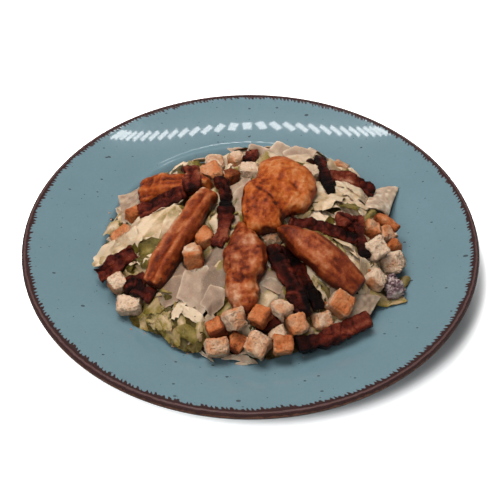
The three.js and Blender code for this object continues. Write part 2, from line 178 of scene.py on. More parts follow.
def hashed(cells, seed):
    """A repeatable number from -1 to 1 for each whole-numbered cell, stirred by large primes."""
    x, y, z = (cells[..., k].astype(np.int64) for k in range(3))
    h = (x * 73856093) ^ (y * 19349663) ^ (z * 83492791) ^ np.int64(seed * 40503 + 12345)
    h = (h ^ (h >> 13)) * 1274126177
    h = (h ^ (h >> 15)) * 668265263
    h = h ^ (h >> 17)
    return (h & 0xFFFFF) / 0x7FFFF - 1.0


def noise(points, size, seed):
    """Smooth lumps of that size, from -1 to 1. size may be one number or one for each axis."""
    p = np.asarray(points) / np.asarray(size) + NOISE_SHIFT
    base = np.floor(p)
    f = p - base
    f = f * f * f * (f * (f * 6 - 15) + 10)
    total = np.zeros(p.shape[:-1])
    for corner in range(8):
        offset = np.array([(corner >> k) & 1 for k in range(3)])
        weight = np.prod(np.where(offset, f, 1 - f), axis=-1)
        total += weight * hashed(base + offset, seed)
    return total


def fractal(points, size, octaves, seed):
    total = np.zeros(points.shape[:-1])
    for k in range(octaves):
        total += noise(points, size / 1.9**k, seed + 31 * k) / 1.8**k
    return total


def pores(points, size, seed):
    """The distance to the nearest of many scattered places, as a share of their spacing."""
    p = points / size + PORE_SHIFT
    base = np.floor(p)
    nearest = np.full(len(p), 9.0)
    for i in range(27):
        cell = base + np.array([i % 3 - 1, i // 3 % 3 - 1, i // 9 - 1])
        place = cell + 0.5 + 0.45 * np.stack([hashed(cell, seed + 11 * k) for k in range(3)], axis=-1)
        nearest = np.minimum(nearest, np.linalg.norm(p - place, axis=-1))
    return nearest


def creases(points, size, seed):
    """1 on the winding lines between lumps of that size, and 0 elsewhere."""
    return np.exp(-((noise(points, size, seed) / CREASE_WIDTH) ** 2))


def smoothstep(low, high, x):
    t = np.clip((x - low) / (high - low), 0, 1)
    return t * t * (3 - 2 * t)


def new_seed(rng):
    return int(rng.integers(1 << 20))


# ---- Meshes ----


def columns(*coordinates):
    """Points from their coordinates. A single number serves for all of them."""
    return np.column_stack(np.broadcast_arrays(*coordinates))


def turned(x, y, turn, at=(0, 0)):
    """Places turned round the middle and then moved."""
    c, s = math.cos(turn), math.sin(turn)
    return at[0] + c * x - s * y, at[1] + s * x + c * y


def positions(mesh):
    co = np.empty(len(mesh.vertices) * 3)
    mesh.vertices.foreach_get("co", co)
    return co.reshape(-1, 3) / MM


def normals(mesh):
    found = np.empty(len(mesh.vertices) * 3)
    mesh.vertex_normals.foreach_get("vector", found)
    return found.reshape(-1, 3)


def move_to(mesh, places):
    mesh.vertices.foreach_set("co", (places * MM).ravel())
    mesh.update()


def paint(mesh, name, values):
    """Keeps a number for each vertex, which a material reads by that name."""
    mesh.attributes.new(name, "FLOAT", "POINT").data.foreach_set("value", values.astype(np.float32))


def spread(mesh, values, rounds):
    """Averages each vertex's row of values with its neighbours', that many times."""
    ends = np.empty(len(mesh.edges) * 2, int)
    mesh.edges.foreach_get("vertices", ends)
    a, b = ends.reshape(-1, 2).T
    count = np.bincount(a, minlength=len(values)) + np.bincount(b, minlength=len(values))
    for _ in range(rounds):
        around = np.zeros_like(values)
        np.add.at(around, a, values[b])
        np.add.at(around, b, values[a])
        values = 0.5 * values + 0.5 * around / count[:, None]
    return values


def hollowness(mesh, rounds):
    """Above 0 in dips and below 0 on bumps, in millimetres."""
    places = positions(mesh)
    around = spread(mesh, places, rounds)
    return np.sum((around - places) * normals(mesh), axis=1)


def new_object(name, points, faces, smooth=True):
    mesh = bpy.data.meshes.new(name)
    mesh.from_pydata([tuple(p) for p in points * MM], [], faces)
    mesh.polygons.foreach_set("use_smooth", [smooth] * len(mesh.polygons))
    mesh.update()
    return link(bpy.data.objects.new(name, mesh))


def finish_piece(piece, material, slot, *nodes):
    piece.data.materials.clear()
    piece.data.materials.append(material)
    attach(piece, "root")
    if nodes:
        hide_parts(*nodes)


# How large the quads are in which clefts are closed, and those of the finished pieces.
FILL_VOXEL = 1.2
VOXEL = {"salad": 2.4, "cheese": 0.5, "crouton": 0.62, "bacon": 0.64, "chicken": 0.8}


def fine_copy(node, name, voxel, rounds, fill=0.0):
    """The CAD node's shape with its facets smoothed away, in quads of that size.

    fill closes clefts that are up to about twice as wide. Gives the piece, its mesh, and where
    its vertices lie and face.
    """
    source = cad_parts[node].data.copy()
    rough = link(bpy.data.objects.new(name + "_rough", source))
    closing = ((FILL_VOXEL, fill), (FILL_VOXEL, -fill)) if fill else ()
    for size, push in (*closing, (voxel, 0)):
        remesh = rough.modifiers.new("remesh", "REMESH")
        remesh.mode = "VOXEL"
        remesh.voxel_size = size * MM
        if push:
            offset = rough.modifiers.new("offset", "DISPLACE")
            offset.mid_level = 0
            offset.strength = push * MM
    depsgraph = bpy.context.evaluated_depsgraph_get()
    mesh = bpy.data.meshes.new_from_object(rough.evaluated_get(depsgraph))
    bpy.data.objects.remove(rough)
    mesh.name = name
    mesh.polygons.foreach_set("use_smooth", [True] * len(mesh.polygons))
    move_to(mesh, spread(mesh, positions(mesh), rounds))
    return link(bpy.data.objects.new(name, mesh)), mesh, positions(mesh), normals(mesh)


def own_axes(places):
    """A piece's long, middle and short direction, as rows, and its middle."""
    middle = places.mean(axis=0)
    _, _, axes = np.linalg.svd(places - middle, full_matrices=False)
    return axes, middle


def tree_of(*nodes):
    """A search tree over CAD nodes, in metres."""
    points, faces = [], []
    for node in nodes:
        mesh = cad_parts[node].data
        faces += [[len(points) + v for v in face.vertices] for face in mesh.polygons]
        points += [v.co.copy() for v in mesh.vertices]
    return BVHTree.FromPolygons(points, faces)


# ---- Materials ----


LIGHT = 0.55  # a surface's colour, as a share of how bright it looks in the light here


def tone(*seen):
    """The colour of a surface that looks like this red, green and blue in the light here."""
    shares = [c / 255 for c in seen]
    linear = [c / 12.92 if c < 0.0404 else ((c + 0.055) / 1.055) ** 2.4 for c in shares]
    return (*[LIGHT * c for c in linear], 1)


class Finish:
    """A material and short ways to add to it."""

    def __init__(self, name, **inputs):
        self.material = bpy.data.materials.new(name)
        self.material.use_nodes = True
        self.tree = self.material.node_tree
        self.surface = self.tree.nodes["Principled BSDF"]
        self.set(self.surface, inputs)
        self.place = self.add("ShaderNodeTexCoord").outputs["Object"]

    def set(self, node, inputs):
        for key, value in inputs.items():
            socket = node.inputs[key if isinstance(key, int) else key.replace("_", " ")]
            if isinstance(value, bpy.types.NodeSocket):
                self.tree.links.new(value, socket)
            else:
                socket.default_value = value
        return node

    def add(self, kind, inputs=None, **settings):
        node = self.tree.nodes.new(kind)
        for key, value in settings.items():
            setattr(node, key, value)
        return self.set(node, inputs or {})

    def math(self, operation, *values, clamp=False):
        inputs = dict(enumerate(values))
        return self.add("ShaderNodeMath", inputs, operation=operation, use_clamp=clamp).outputs[0]

    def noise(self, size_mm, detail=3, roughness=0.55, place=None):
        inputs = {
            "Vector": place or self.place,
            "Scale": 1 / (size_mm * MM),
            "Detail": detail,
            "Roughness": roughness,
        }
        return self.add("ShaderNodeTexNoise", inputs).outputs["Fac"]

    def vector(self, operation, *values):
        node = self.add("ShaderNodeVectorMath", dict(enumerate(values)), operation=operation)
        return node.outputs["Value" if operation == "LENGTH" else "Vector"]

    def wandering(self, size_mm, reach_mm):
        """Object coordinates that wander that far, so that cells get uneven sides."""
        inputs = {"Vector": self.place, "Scale": 1 / (size_mm * MM)}
        bent = self.add("ShaderNodeTexNoise", inputs).outputs["Color"]
        return self.vector("ADD", self.vector("MULTIPLY", bent, (reach_mm * MM,) * 3), self.place)

    def cells(self, size_mm, place=None, **settings):
        inputs = {"Vector": place or self.place, "Scale": 1 / (size_mm * MM)}
        return self.add("ShaderNodeTexVoronoi", inputs, **settings).outputs

    def specks(self, spacing_mm, rarity, widest, place=None, **settings):
        """1 inside round specks of many sizes, which a share of the cells go without."""
        cell = self.cells(spacing_mm, place, **settings)
        chance = self.add("ShaderNodeSeparateColor", {0: cell["Color"]}).outputs[0]
        grown = self.math("SUBTRACT", chance, rarity, clamp=True)
        return self.math("LESS_THAN", cell["Distance"], self.math("MULTIPLY", grown, widest))

    def vertex(self, name):
        return self.add("ShaderNodeAttribute", attribute_name=name).outputs["Fac"]

    def steps(self, value, low, high, to_low=0.0, to_high=1.0):
        inputs = {"Value": value, "From Min": low, "From Max": high, "To Min": to_low, "To Max": to_high}
        return self.add("ShaderNodeMapRange", inputs, interpolation_type="SMOOTHSTEP").outputs[0]

    def mix(self, share, first, second):
        node = self.add("ShaderNodeMix", {"Factor": share}, data_type="RGBA")
        self.set(node, {6: first, 7: second})
        return node.outputs[2]

    def ramp(self, value, *stops):
        """Runs through colours. Each stop is a place from 0 to 1 and its red, green and blue."""
        node = self.add("ShaderNodeValToRGB", {"Fac": value})
        elements = node.color_ramp.elements
        for element, (place, *seen) in zip(elements, (stops[0], stops[-1])):
            element.position, element.color = place, tone(*seen)
        for place, *seen in stops[1:-1]:
            elements.new(place).color = tone(*seen)
        return node.outputs["Color"]

    def around(self, value, size_mm, depth, detail=3):
        """The value with patches of that size added to it, up to half the depth either way."""
        added = self.math("SUBTRACT", self.noise(size_mm, detail, 0.65), 0.5)
        return self.math("MULTIPLY_ADD", added, depth, value)

    def bump(self, height, depth_mm, strength=1.0, under=None):
        inputs = {"Height": height, "Distance": depth_mm * MM, "Strength": strength}
        if under is not None:
            inputs["Normal"] = under
        return self.add("ShaderNodeBump", inputs).outputs[0]

    def done(self, base, normal=None, **inputs):
        self.set(self.surface, {"Base Color": base})
        self.set(self.surface, inputs)
        if normal is not None:
            self.set(self.surface, {"Normal": normal})
        return self.material


def grey(share):
    return (share, share, share, 1)


WHITE = grey(1)


def soft(weight, depth_mm=2):
    """Lets light through a surface, to about that depth."""
    return {"Subsurface_Weight": weight, "Subsurface_Scale": depth_mm * MM}


FLOOR_GLOW = 0.8  # how brightly the floor shines by itself
# A painted shadow on the floor: inside this oval round the plate the floor neither glows nor is as light.
FLOOR_PAINTED_SHADOW = {"middle": (8, 20), "half": (148, 132), "fade": (0.935, 1.015)}  # an oval without it

LIP_BROWN = 3.8  # how far the brown reaches in from the lip
LIP_TEETH = 1.9  # how far its teeth reach further
LIP_TEETH_ROUND = 330  # how many go round
LIP_BANDS = 5.0  # the distance over which its bands are laid out
GLAZE_SPECKS = ((15, 0.8, 0.45), (7, 0.4, 0.5), (34, 1.3, 0.35))  # spacing, widest, share without


def glaze_material():
    """Blue stoneware glaze with dark specks, brushed brown at the lip."""
    make = Finish("glaze", Coat_Weight=0.5, Coat_Roughness=0.12)
    from_lip = make.vertex("from_lip")
    split = make.add("ShaderNodeSeparateXYZ", {0: make.place})
    angle = make.math("ARCTAN2", split.outputs[1], split.outputs[0])
    leaning = make.math("MULTIPLY_ADD", from_lip, 0.003, angle)
    ring = make.add("ShaderNodeCombineXYZ", {
        0: make.math("COSINE", leaning),
        1: make.math("SINE", leaning),
        2: make.math("MULTIPLY", from_lip, 0.001),
    }).outputs[0]

    # The brown ends inwards in short teeth, evenly spaced but uneven in length.
    wander = make.math("MULTIPLY", make.noise(60, 2, 0.6, ring), 9)
    wave = make.math("SINE", make.math("MULTIPLY_ADD", leaning, LIP_TEETH_ROUND, wander))
    uneven = make.math("ADD", wave, make.math("MULTIPLY", make.noise(18, 2, 0.6, ring), 9))
    teeth = make.steps(uneven, 3.2, 6.2, 0, LIP_TEETH)
    broad = make.steps(make.noise(260, 2, 0.5, ring), 0.45, 0.75, 0, 1.2)
    depth = make.math("SUBTRACT", from_lip, make.math("ADD", teeth, broad))
    brown = make.steps(depth, LIP_BROWN - 0.5, LIP_BROWN + 0.3, 1, 0)

    mottle = make.noise(30, 4, 0.6)
    blue = make.mix(mottle, tone(108, 134, 143), tone(118, 146, 154))
    blue = make.mix(make.steps(make.noise(1.6, 2, 0.6), 0.35, 0.75, 0, 0.2), blue, tone(100, 124, 132))
    specked = blue
    oval = make.vector("MULTIPLY", make.place, (1 / 1.25, 1 / 0.8, 1))
    for spacing, radius, rarity in GLAZE_SPECKS:
        widest = radius / spacing / (1 - rarity)
        inside = make.specks(spacing, rarity, widest, oval, voronoi_dimensions="2D")
        specked = make.mix(make.math("MULTIPLY", inside, 0.8), specked, tone(52, 54, 58))

    # The brushed brown bands across the lip. The lighter band near its crest is partly the glaze's own
    # colour and partly a painted highlight; the outside of the lip is darker.
    streaks = make.around(make.math("DIVIDE", from_lip, LIP_BANDS), 4, 0.3)
    lip_tones_and_highlight = make.ramp(
        streaks, (0, 104, 66, 46), (0.08, 54, 28, 26), (0.26, 58, 33, 31), (0.36, 96, 70, 67),
        (0.48, 86, 60, 57), (0.58, 54, 26, 24), (1, 58, 37, 35),
    )  # fmt: skip
    lip_tones_and_highlight = make.mix(make.vertex("outside"), lip_tones_and_highlight, tone(40, 18, 16))
    base = make.mix(brown, specked, lip_tones_and_highlight)
    bare = make.vertex("unglazed")
    base = make.mix(bare, base, tone(176, 160, 142))
    normal = make.bump(make.math("MULTIPLY", make.noise(3, 3, 0.7), brown), 0.2, 0.6)
    smooth = make.math("MULTIPLY_ADD", brown, 0.14, 0.02)
    rough = make.math("MAXIMUM", smooth, make.math("MULTIPLY", bare, 0.7))
    return make.done(base, normal, Roughness=rough)


def crumb_material():
    """White bread, toasted where the vertices say so, and darker in its pores and pits as painted shade.
    """
    make = Finish("toasted_bread", Roughness=0.8, Specular_IOR_Level=0.25, **soft(0.12))
    amount = make.around(make.around(make.vertex("toast"), 4.5, 0.55), 1.2, 0.5)
    base = make.ramp(
        amount, (0, 226, 194, 164), (0.22, 204, 160, 126), (0.48, 206, 134, 88),
        (0.74, 190, 104, 56), (1, 116, 54, 28),
    )  # fmt: skip
    # Painted shade: the crumb is coloured darker down in its pores and in small pits.
    base = make.mix(make.steps(make.vertex("pore"), 0.2, 1, 0, 0.3), base, tone(142, 98, 68))
    away = make.cells(1.3, make.wandering(1.5, 0.9))["Distance"]
    pits = make.steps(away, 0.12, 0.5, 1, 0)
    base = make.mix(make.math("MULTIPLY", pits, 0.22), base, tone(150, 98, 64))
    rough = make.bump(make.noise(1.1, 4, 0.7), 0.45, 0.8)
    return make.done(base, make.bump(make.math("SUBTRACT", 1.0, pits), 0.35, 0.9, rough))


def chicken_material():
    """Fried chicken breast: pale patches, browned where it met the pan, and darker in hollows, creases
    and undersides as painted shade.
    """
    make = Finish("fried_chicken", Roughness=0.4, Specular_IOR_Level=0.3, **soft(0.08))
    mottle = make.noise(4, 4, 0.7)
    fine = make.noise(1.0, 3, 0.65)
    amount = make.around(make.around(make.vertex("browning_and_shade"), 4, 0.36, 4), 1.0, 0.5)
    plain = make.ramp(
        amount, (0, 202, 158, 130), (0.25, 176, 120, 90), (0.5, 152, 77, 41),
        (0.75, 118, 46, 20), (1, 74, 24, 10),
    )  # fmt: skip
    fried = make.ramp(
        amount, (0, 216, 156, 110), (0.25, 200, 124, 72), (0.5, 182, 90, 30),
        (0.75, 148, 58, 12), (1, 72, 24, 6),
    )  # fmt: skip
    base = make.mix(make.vertex("orange"), plain, fried)
    pepper = make.specks(7, 0.6, 0.25)
    base = make.mix(make.math("MULTIPLY", pepper, 0.8), base, tone(50, 20, 14))
    return make.done(base, make.bump(fine, 0.3, 0.8, make.bump(mottle, 0.6, 0.4)))


def bacon_material():
    """Fried bacon: red-brown lean with amber fat, black where it burnt, and darker in its creases and
    pleat hollows as painted shade.
    """
    make = Finish("fried_bacon", Roughness=0.42, Specular_IOR_Level=0.2)
    amount = make.around(make.around(make.vertex("char"), 3.5, 0.65, 4), 1.0, 0.45)
    base = make.ramp(
        amount, (0, 176, 124, 98), (0.2, 134, 66, 42), (0.42, 98, 32, 16), (0.62, 62, 16, 8),
        (0.8, 28, 9, 6), (1, 12, 7, 7),
    )  # fmt: skip
    coarse = make.bump(make.noise(3, 4, 0.7), 0.9, 0.6)
    return make.done(base, make.bump(make.noise(0.9, 3, 0.6), 0.5, 0.9, coarse))


def leaf_material():
    """Dressed romaine: cream where it is thick and dressed, yellow-green where it is thin."""
    make = Finish("romaine", Roughness=0.4, Specular_IOR_Level=0.4, **soft(0.1))
    away = make.cells(3.2, make.wandering(2.5, 1.5), feature="DISTANCE_TO_EDGE")["Distance"]
    veins = make.steps(away, 0.0, 0.16, 1, 0)
    amount = make.around(make.around(make.vertex("green"), 6, 0.65, 4), 2.2, 0.4)
    base = make.ramp(
        amount, (0, 230, 202, 170), (0.22, 200, 168, 132), (0.4, 166, 140, 94),
        (0.54, 136, 116, 50), (0.75, 104, 88, 22), (1, 70, 57, 12),
    )  # fmt: skip
    base = make.mix(make.math("MULTIPLY", veins, 0.08), base, tone(200, 180, 116))
    base = make.mix(make.math("MULTIPLY", make.vertex("rib"), 0.6), base, tone(204, 178, 134))
    lumps = make.bump(make.noise(2.2, 3, 0.65), 0.5, 0.6)
    return make.done(base, make.bump(veins, 0.08, 0.6, lumps))


def core_material():
    """The leaves deep in the heap, coloured dark as painted shade in the gaps between the outer leaves.
    """
    make = Finish("inner_leaves", Roughness=0.5)
    patch = make.noise(7, 5, 0.65)
    base = make.ramp(patch, (0.35, 46, 32, 14), (0.5, 94, 76, 32), (0.65, 140, 116, 76))
    return make.done(base, make.bump(patch, 1.5, 0.8))


def cheese_material():
    """Hard cheese, shaved thin, paler towards the edges of the flakes, partly as the cheese's own tone
    and partly as a painted highlight.
    """
    make = Finish("hard_cheese", Roughness=0.45, Specular_IOR_Level=0.4, **soft(0.2, 3))
    cloud = make.around(make.vertex("rind"), 6, 0.7, 4)
    grain = make.noise(0.8, 3, 0.7)
    base = make.ramp(
        cloud, (0, 134, 109, 90), (0.35, 164, 135, 112), (0.75, 202, 175, 148), (1, 234, 214, 190)
    )
    base = make.mix(make.steps(grain, 0.5, 0.75, 0, 0.3), base, tone(214, 196, 170))
    return make.done(base, make.bump(grain, 0.2, 0.5))


def frill_material():
    """The dark red, frilly edge of a lollo rosso leaf."""
    make = Finish("lollo_rosso", Roughness=0.38, Specular_IOR_Level=0.5)
    amount = make.around(make.vertex("edge"), 2.5, 0.6)
    base = make.ramp(
        amount, (0, 200, 182, 160), (0.35, 200, 182, 174), (0.7, 164, 138, 138), (1, 112, 80, 84)
    )
    return make.done(base, make.bump(make.noise(1.2, 3, 0.6), 0.3, 0.5))


def dressing_material():
    """Thin pale dressing on the glaze."""
    make = Finish("dressing", Roughness=0.25)
    base = make.mix(make.noise(3, 3), tone(150, 158, 156), tone(196, 192, 178))
    return make.done(base, make.bump(make.noise(1.5, 2), 0.1, 0.3))


def floor_material():
    """White paper, overexposed by its own glow except in an oval close under the plate, where a shadow is
    painted: it does not glow there and is darker.
    """
    make = Finish("studio_floor", Roughness=1, Specular_IOR_Level=0, Emission_Color=WHITE)
    paper = make.noise(2, 2)
    middle, half = (tuple(at_mm(*FLOOR_PAINTED_SHADOW[key], 1)) for key in ("middle", "half"))
    away = make.vector("DIVIDE", make.vector("SUBTRACT", make.place, middle), half)
    share = make.vector("LENGTH", make.vector("MULTIPLY", away, (1, 1, 0)))
    glow = make.steps(share, *FLOOR_PAINTED_SHADOW["fade"], 0, FLOOR_GLOW)
    base = make.mix(paper, grey(0.86), grey(0.9))
    # Painted shadow: inside the oval the paper is coloured darker too.
    base = make.mix(make.math("MULTIPLY", glow, 1 / FLOOR_GLOW), grey(0.5), base)
    return make.done(base, Emission_Strength=glow)


def backdrop_material():
    make = Finish("studio_backdrop", Roughness=1, Emission_Strength=1.0, Emission_Color=WHITE)
    return make.done(grey(0))


# ---- Plate ----

PLATE_TURNS = 256
SECTION_STEP = 1.8  # along the plate's section
LIP_STEP = 0.3
LIP_WIDTH = 7  # the outer part of the rim that takes the small steps
RIM_START = 89  # where the rim leaves the wall of the well
RIM_STEP = 3
RIDGE = {"at": 90, "height": 0.25, "width": 1.6}  # a soft ridge where the rim begins
LIP_OUTSIDE = 2.5  # how much further down the brown reaches outside the lip
FOOT_OUTER = 58.0
FOOT_GLAZE_LINE = 1.2


def plate_section():
    """The CAD plate's section, from the middle of its top round the lip to the middle of its foot."""
    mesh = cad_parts["plate"].data
    places = positions(mesh)
    radius = np.hypot(places[:, 0], places[:, 1])
    flat = (np.abs(places[:, 1]) < 0.01) & (places[:, 0] > -0.01)
    key = {i: (round(float(radius[i]), 2), round(float(places[i, 2]), 2)) for i in np.flatnonzero(flat)}
    joined = {}
    for edge in mesh.edges:
        a, b = edge.vertices
        if a in key and b in key and key[a] != key[b]:
            joined.setdefault(key[a], set()).add(key[b])
            joined.setdefault(key[b], set()).add(key[a])
    start = max((p for p in joined if p[0] < 0.01), key=lambda p: p[1])
    path, last = [start], None
    while len(path) < 2 or path[-1][0] > 0.01:
        ahead = [p for p in joined[path[-1]] if p != last and p not in path]
        last = path[-1]
        path.append(ahead[0])
    return np.array(path)


def curve_through(path, steps):
    """A smooth curve through the points of a path, with the bends spread by how far apart they are."""
    points = np.vstack([2 * path[0] - path[1], path, 2 * path[-1] - path[-2]])
    curve = []
    for p0, p1, p2, p3 in zip(points, points[1:], points[2:], points[3:]):
        d1, d2, d3 = (max(1e-3, np.linalg.norm(b - a)) ** 0.5 for a, b in ((p0, p1), (p1, p2), (p2, p3)))
        m1 = (p2 - p1) / d2 - (p2 - p0) / (d1 + d2) + (p1 - p0) / d1
        m2 = (p3 - p2) / d3 - (p3 - p1) / (d2 + d3) + (p2 - p1) / d2
        count = steps(p1, p2)
        for t in np.arange(count) / count:
            h = np.array([2 * t**3 - 3 * t**2 + 1, t**3 - 2 * t**2 + t, 3 * t**2 - 2 * t**3, t**3 - t**2])
            curve.append(h[0] * p1 + h[1] * d2 * m1 + h[2] * p2 + h[3] * d2 * m2)
    return np.array(curve + [path[-1]])


def even_rim(path):
    """Lays an even slope over the facets of the rim, from the well to the lip."""
    lip = np.argmax(path[:, 0])
    start = np.argmax(path[:lip, 0] > RIM_START - 0.1)
    end = lip - 2
    share = np.arange(RIM_STEP, path[end, 0] - RIM_START, RIM_STEP) / (path[end, 0] - RIM_START)
    rim = path[start] + share[:, None] * (path[end] - path[start])
    return np.vstack([path[: start + 1], rim, path[end:]])


def make_plate(material):
    path = plate_section()
    rim = path[:, 0].max()
    path = even_rim(path)

    def steps(a, b):
        near_lip = min(a[0], b[0]) > rim - LIP_WIDTH
        return max(2, int(np.linalg.norm(b - a) / (LIP_STEP if near_lip else SECTION_STEP)))

    section = curve_through(path, steps)
    section[:, 0] = np.clip(section[:, 0], 0, rim)
    top = np.arange(len(section)) < np.argmax(section[:, 0])
    ridge = RIDGE["height"] * np.exp(-(((section[:, 0] - RIDGE["at"]) / RIDGE["width"]) ** 2))
    section[:, 1] += np.where(top, ridge, 0)
    along = np.concatenate([[0], np.cumsum(np.linalg.norm(np.diff(section, axis=0), axis=1))])
    lip = along[np.argmax(section[:, 0])]
    ring = section[1:-1]
    turn = np.arange(PLATE_TURNS) * 2 * math.pi / PLATE_TURNS
    around = np.stack([np.cos(turn), np.sin(turn)], axis=1)
    body = [columns(*(around * r).T, z) for r, z in ring]
    points = np.vstack([[0, 0, section[0][1]], *body, [0, 0, section[-1][1]]])
    faces = []
    last = len(points) - 1
    for i in range(PLATE_TURNS):
        j = (i + 1) % PLATE_TURNS
        faces.append((0, 1 + i, 1 + j))
        for k in range(len(ring) - 1):
            a, b = 1 + k * PLATE_TURNS, 1 + (k + 1) * PLATE_TURNS
            faces.append((a + i, b + i, b + j, a + j))
        end = 1 + (len(ring) - 1) * PLATE_TURNS
        faces.append((end + j, end + i, last))
    plate = new_object("glazed_plate", points, faces)
    finish_piece(plate, material, "glaze", "plate")
    # Inside the lip this is the distance in plan, and outside it the brown reaches further down.
    inside = along < lip
    from_lip = np.where(inside, rim - section[:, 0], along - lip - LIP_OUTSIDE)
    for name, values, first, final in (("from_lip", from_lip, 99, 99), ("outside", ~inside, 0, 1)):
        body = np.repeat(values[1:-1], PLATE_TURNS)
        paint(plate.data, name, np.concatenate([[first], body, [final]]))
    radius = np.hypot(points[:, 0], points[:, 1])
    paint(plate.data, "unglazed", (radius < FOOT_OUTER) & (points[:, 2] < FOOT_GLAZE_LINE))


# ---- The heap as height fields ----

FIELD_REACH = 108
FIELD_STEP = 1.5
BELOW_ALL = -50
ABOVE_ALL = 200.0  # also stands for no topping above
UNDER_TOPPINGS = {"slope": 1.6, "gap": 0.35}  # how close loose pieces come to what lies on them
PLATE_GAP = 0.4
EASING_ROUNDS = 8  # how many steps of the grid that reaches


class Field:
    """Heights over the plate on a square grid."""

    def __init__(self, grid):
        self.grid = grid

    def __call__(self, x, y):
        u = np.clip((np.asarray(x) + FIELD_REACH) / FIELD_STEP, 0, len(self.grid) - 1.001)
        v = np.clip((np.asarray(y) + FIELD_REACH) / FIELD_STEP, 0, len(self.grid) - 1.001)
        i, j = u.astype(int), v.astype(int)
        s, t = u - i, v - j
        g = self.grid
        near = g[i, j] * (1 - s) + g[i + 1, j] * s
        far = g[i, j + 1] * (1 - s) + g[i + 1, j + 1] * s
        return near * (1 - t) + far * t

    def blurred(self, rounds):
        g = self.grid
        for _ in range(rounds):
            padded = np.pad(g, 1, mode="edge")
            sides = padded[:-2, 1:-1] + padded[2:, 1:-1] + padded[1:-1, :-2] + padded[1:-1, 2:]
            g = 0.5 * g + sides / 8
        return Field(g)


def cast(tree, upwards, missing):
    """The first height that a ray meets over each grid point."""
    steps = int(2 * FIELD_REACH / FIELD_STEP) + 1
    axis = np.linspace(-FIELD_REACH, FIELD_REACH, steps)
    start, direction = (BELOW_ALL, 1) if upwards else (ABOVE_ALL, -1)
    grid = np.full((steps, steps), float(missing))
    for i, x in enumerate(axis):
        for j, y in enumerate(axis):
            hit = tree.ray_cast(at_mm(x, y, start), Vector((0, 0, direction)))[0]
            if hit is not None:
                grid[i, j] = hit.z / MM
    return grid


def eased(grid, slope):
    """Lowers a grid near its low places, so that it climbs from them no faster than that slope."""
    step = slope * FIELD_STEP
    for _ in range(EASING_ROUNDS):
        padded = np.pad(grid, 1, mode="edge")
        sides = [padded[:-2, 1:-1], padded[2:, 1:-1], padded[1:-1, :-2], padded[1:-1, 2:]]
        grid = np.minimum(grid, np.minimum.reduce(sides) + step)
    return grid


TOPPINGS = sorted(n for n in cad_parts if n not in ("plate", "salad"))
plate_top = Field(cast(tree_of("plate"), upwards=False, missing=0))
topping_under = cast(tree_of(*TOPPINGS), upwards=True, missing=ABOVE_ALL)
salad_top = cast(tree_of("salad"), upwards=False, missing=0)
salad_top = np.where(salad_top > 0, salad_top, plate_top.grid)
ceiling = Field(eased(topping_under, UNDER_TOPPINGS["slope"]) - UNDER_TOPPINGS["gap"])
heap_top = Field(salad_top).blurred(rounds=4)
floor_above = Field(plate_top.grid + PLATE_GAP)

# Where the rim shows over the heap, so that all of it lies lower there: a middle and a reach.
RIM_SHOWS = ((-42, 66), (36, 25))


def away_from(spot, x, y):
    """How far a place lies from a spot's middle, as a share of its reach."""
    (mid_x, mid_y), (reach_x, reach_y) = spot
    return np.hypot((x - mid_x) / reach_x, (y - mid_y) / reach_y)


def is_in(spots, at):
    return any(away_from(spot, *at) < 1 for spot in spots)


# How deep the core lies under the surface of the CAD heap. It keeps its place where it rests
# within that height over the plate, and is raised by no more than that to clear the plate.
CORE = {"depth": 3.0, "lumps": 1.6, "least": 1.0, "lowered": 4, "resting": 1.5, "raised": 2}


def make_core(material):
    """The heap without its outer leaves: the CAD heap shrunk and made lumpy."""
    core, mesh, places, out = fine_copy("salad", "salad_core", VOXEL["salad"], rounds=3)
    depth = CORE["depth"] - CORE["lumps"] * fractal(places, 9, 3, SEED)
    lowered = smoothstep(1, 0.6, away_from(RIM_SHOWS, places[:, 0], places[:, 1]))
    depth = np.maximum(depth + CORE["lowered"] * lowered, CORE["least"])
    bottom = floor_above(places[:, 0], places[:, 1])
    resting = places[:, 2] < bottom + CORE["resting"]
    depth = np.where(resting, 0, depth)
    places = places - out * depth[:, None]
    places[:, 2] = np.maximum(places[:, 2], np.minimum(bottom, places[:, 2] + CORE["raised"]))
    move_to(mesh, places)
    finish_piece(core, material, "leaves", "salad")


# ---- Thin pieces that lie on the heap ----


def disc(rings, sectors):
    """Points of a unit disc as share of the radius and angle, the middle first."""
    share = np.concatenate([[0], np.repeat(np.arange(1, rings + 1) / rings, sectors)])
    angle = np.concatenate([[0], np.tile(np.arange(sectors) * 2 * math.pi / sectors, rings)])
    return share, angle


def facing(points, rings, sectors):
    """Which way a bent disc faces at each of its points."""
    grid = points[1:].reshape(rings, sectors, 3)
    centre = np.broadcast_to(points[0], (1, sectors, 3))
    outward = np.concatenate([grid[1:], grid[-1:]]) - np.concatenate([centre, grid[:-1]])
    onward = np.roll(grid, -1, axis=1) - np.roll(grid, 1, axis=1)
    found = np.cross(outward, onward).reshape(-1, 3)
    found = np.vstack([found[:sectors].sum(axis=0), found])
    return found / np.maximum(np.linalg.norm(found, axis=1), 1e-9)[:, None]


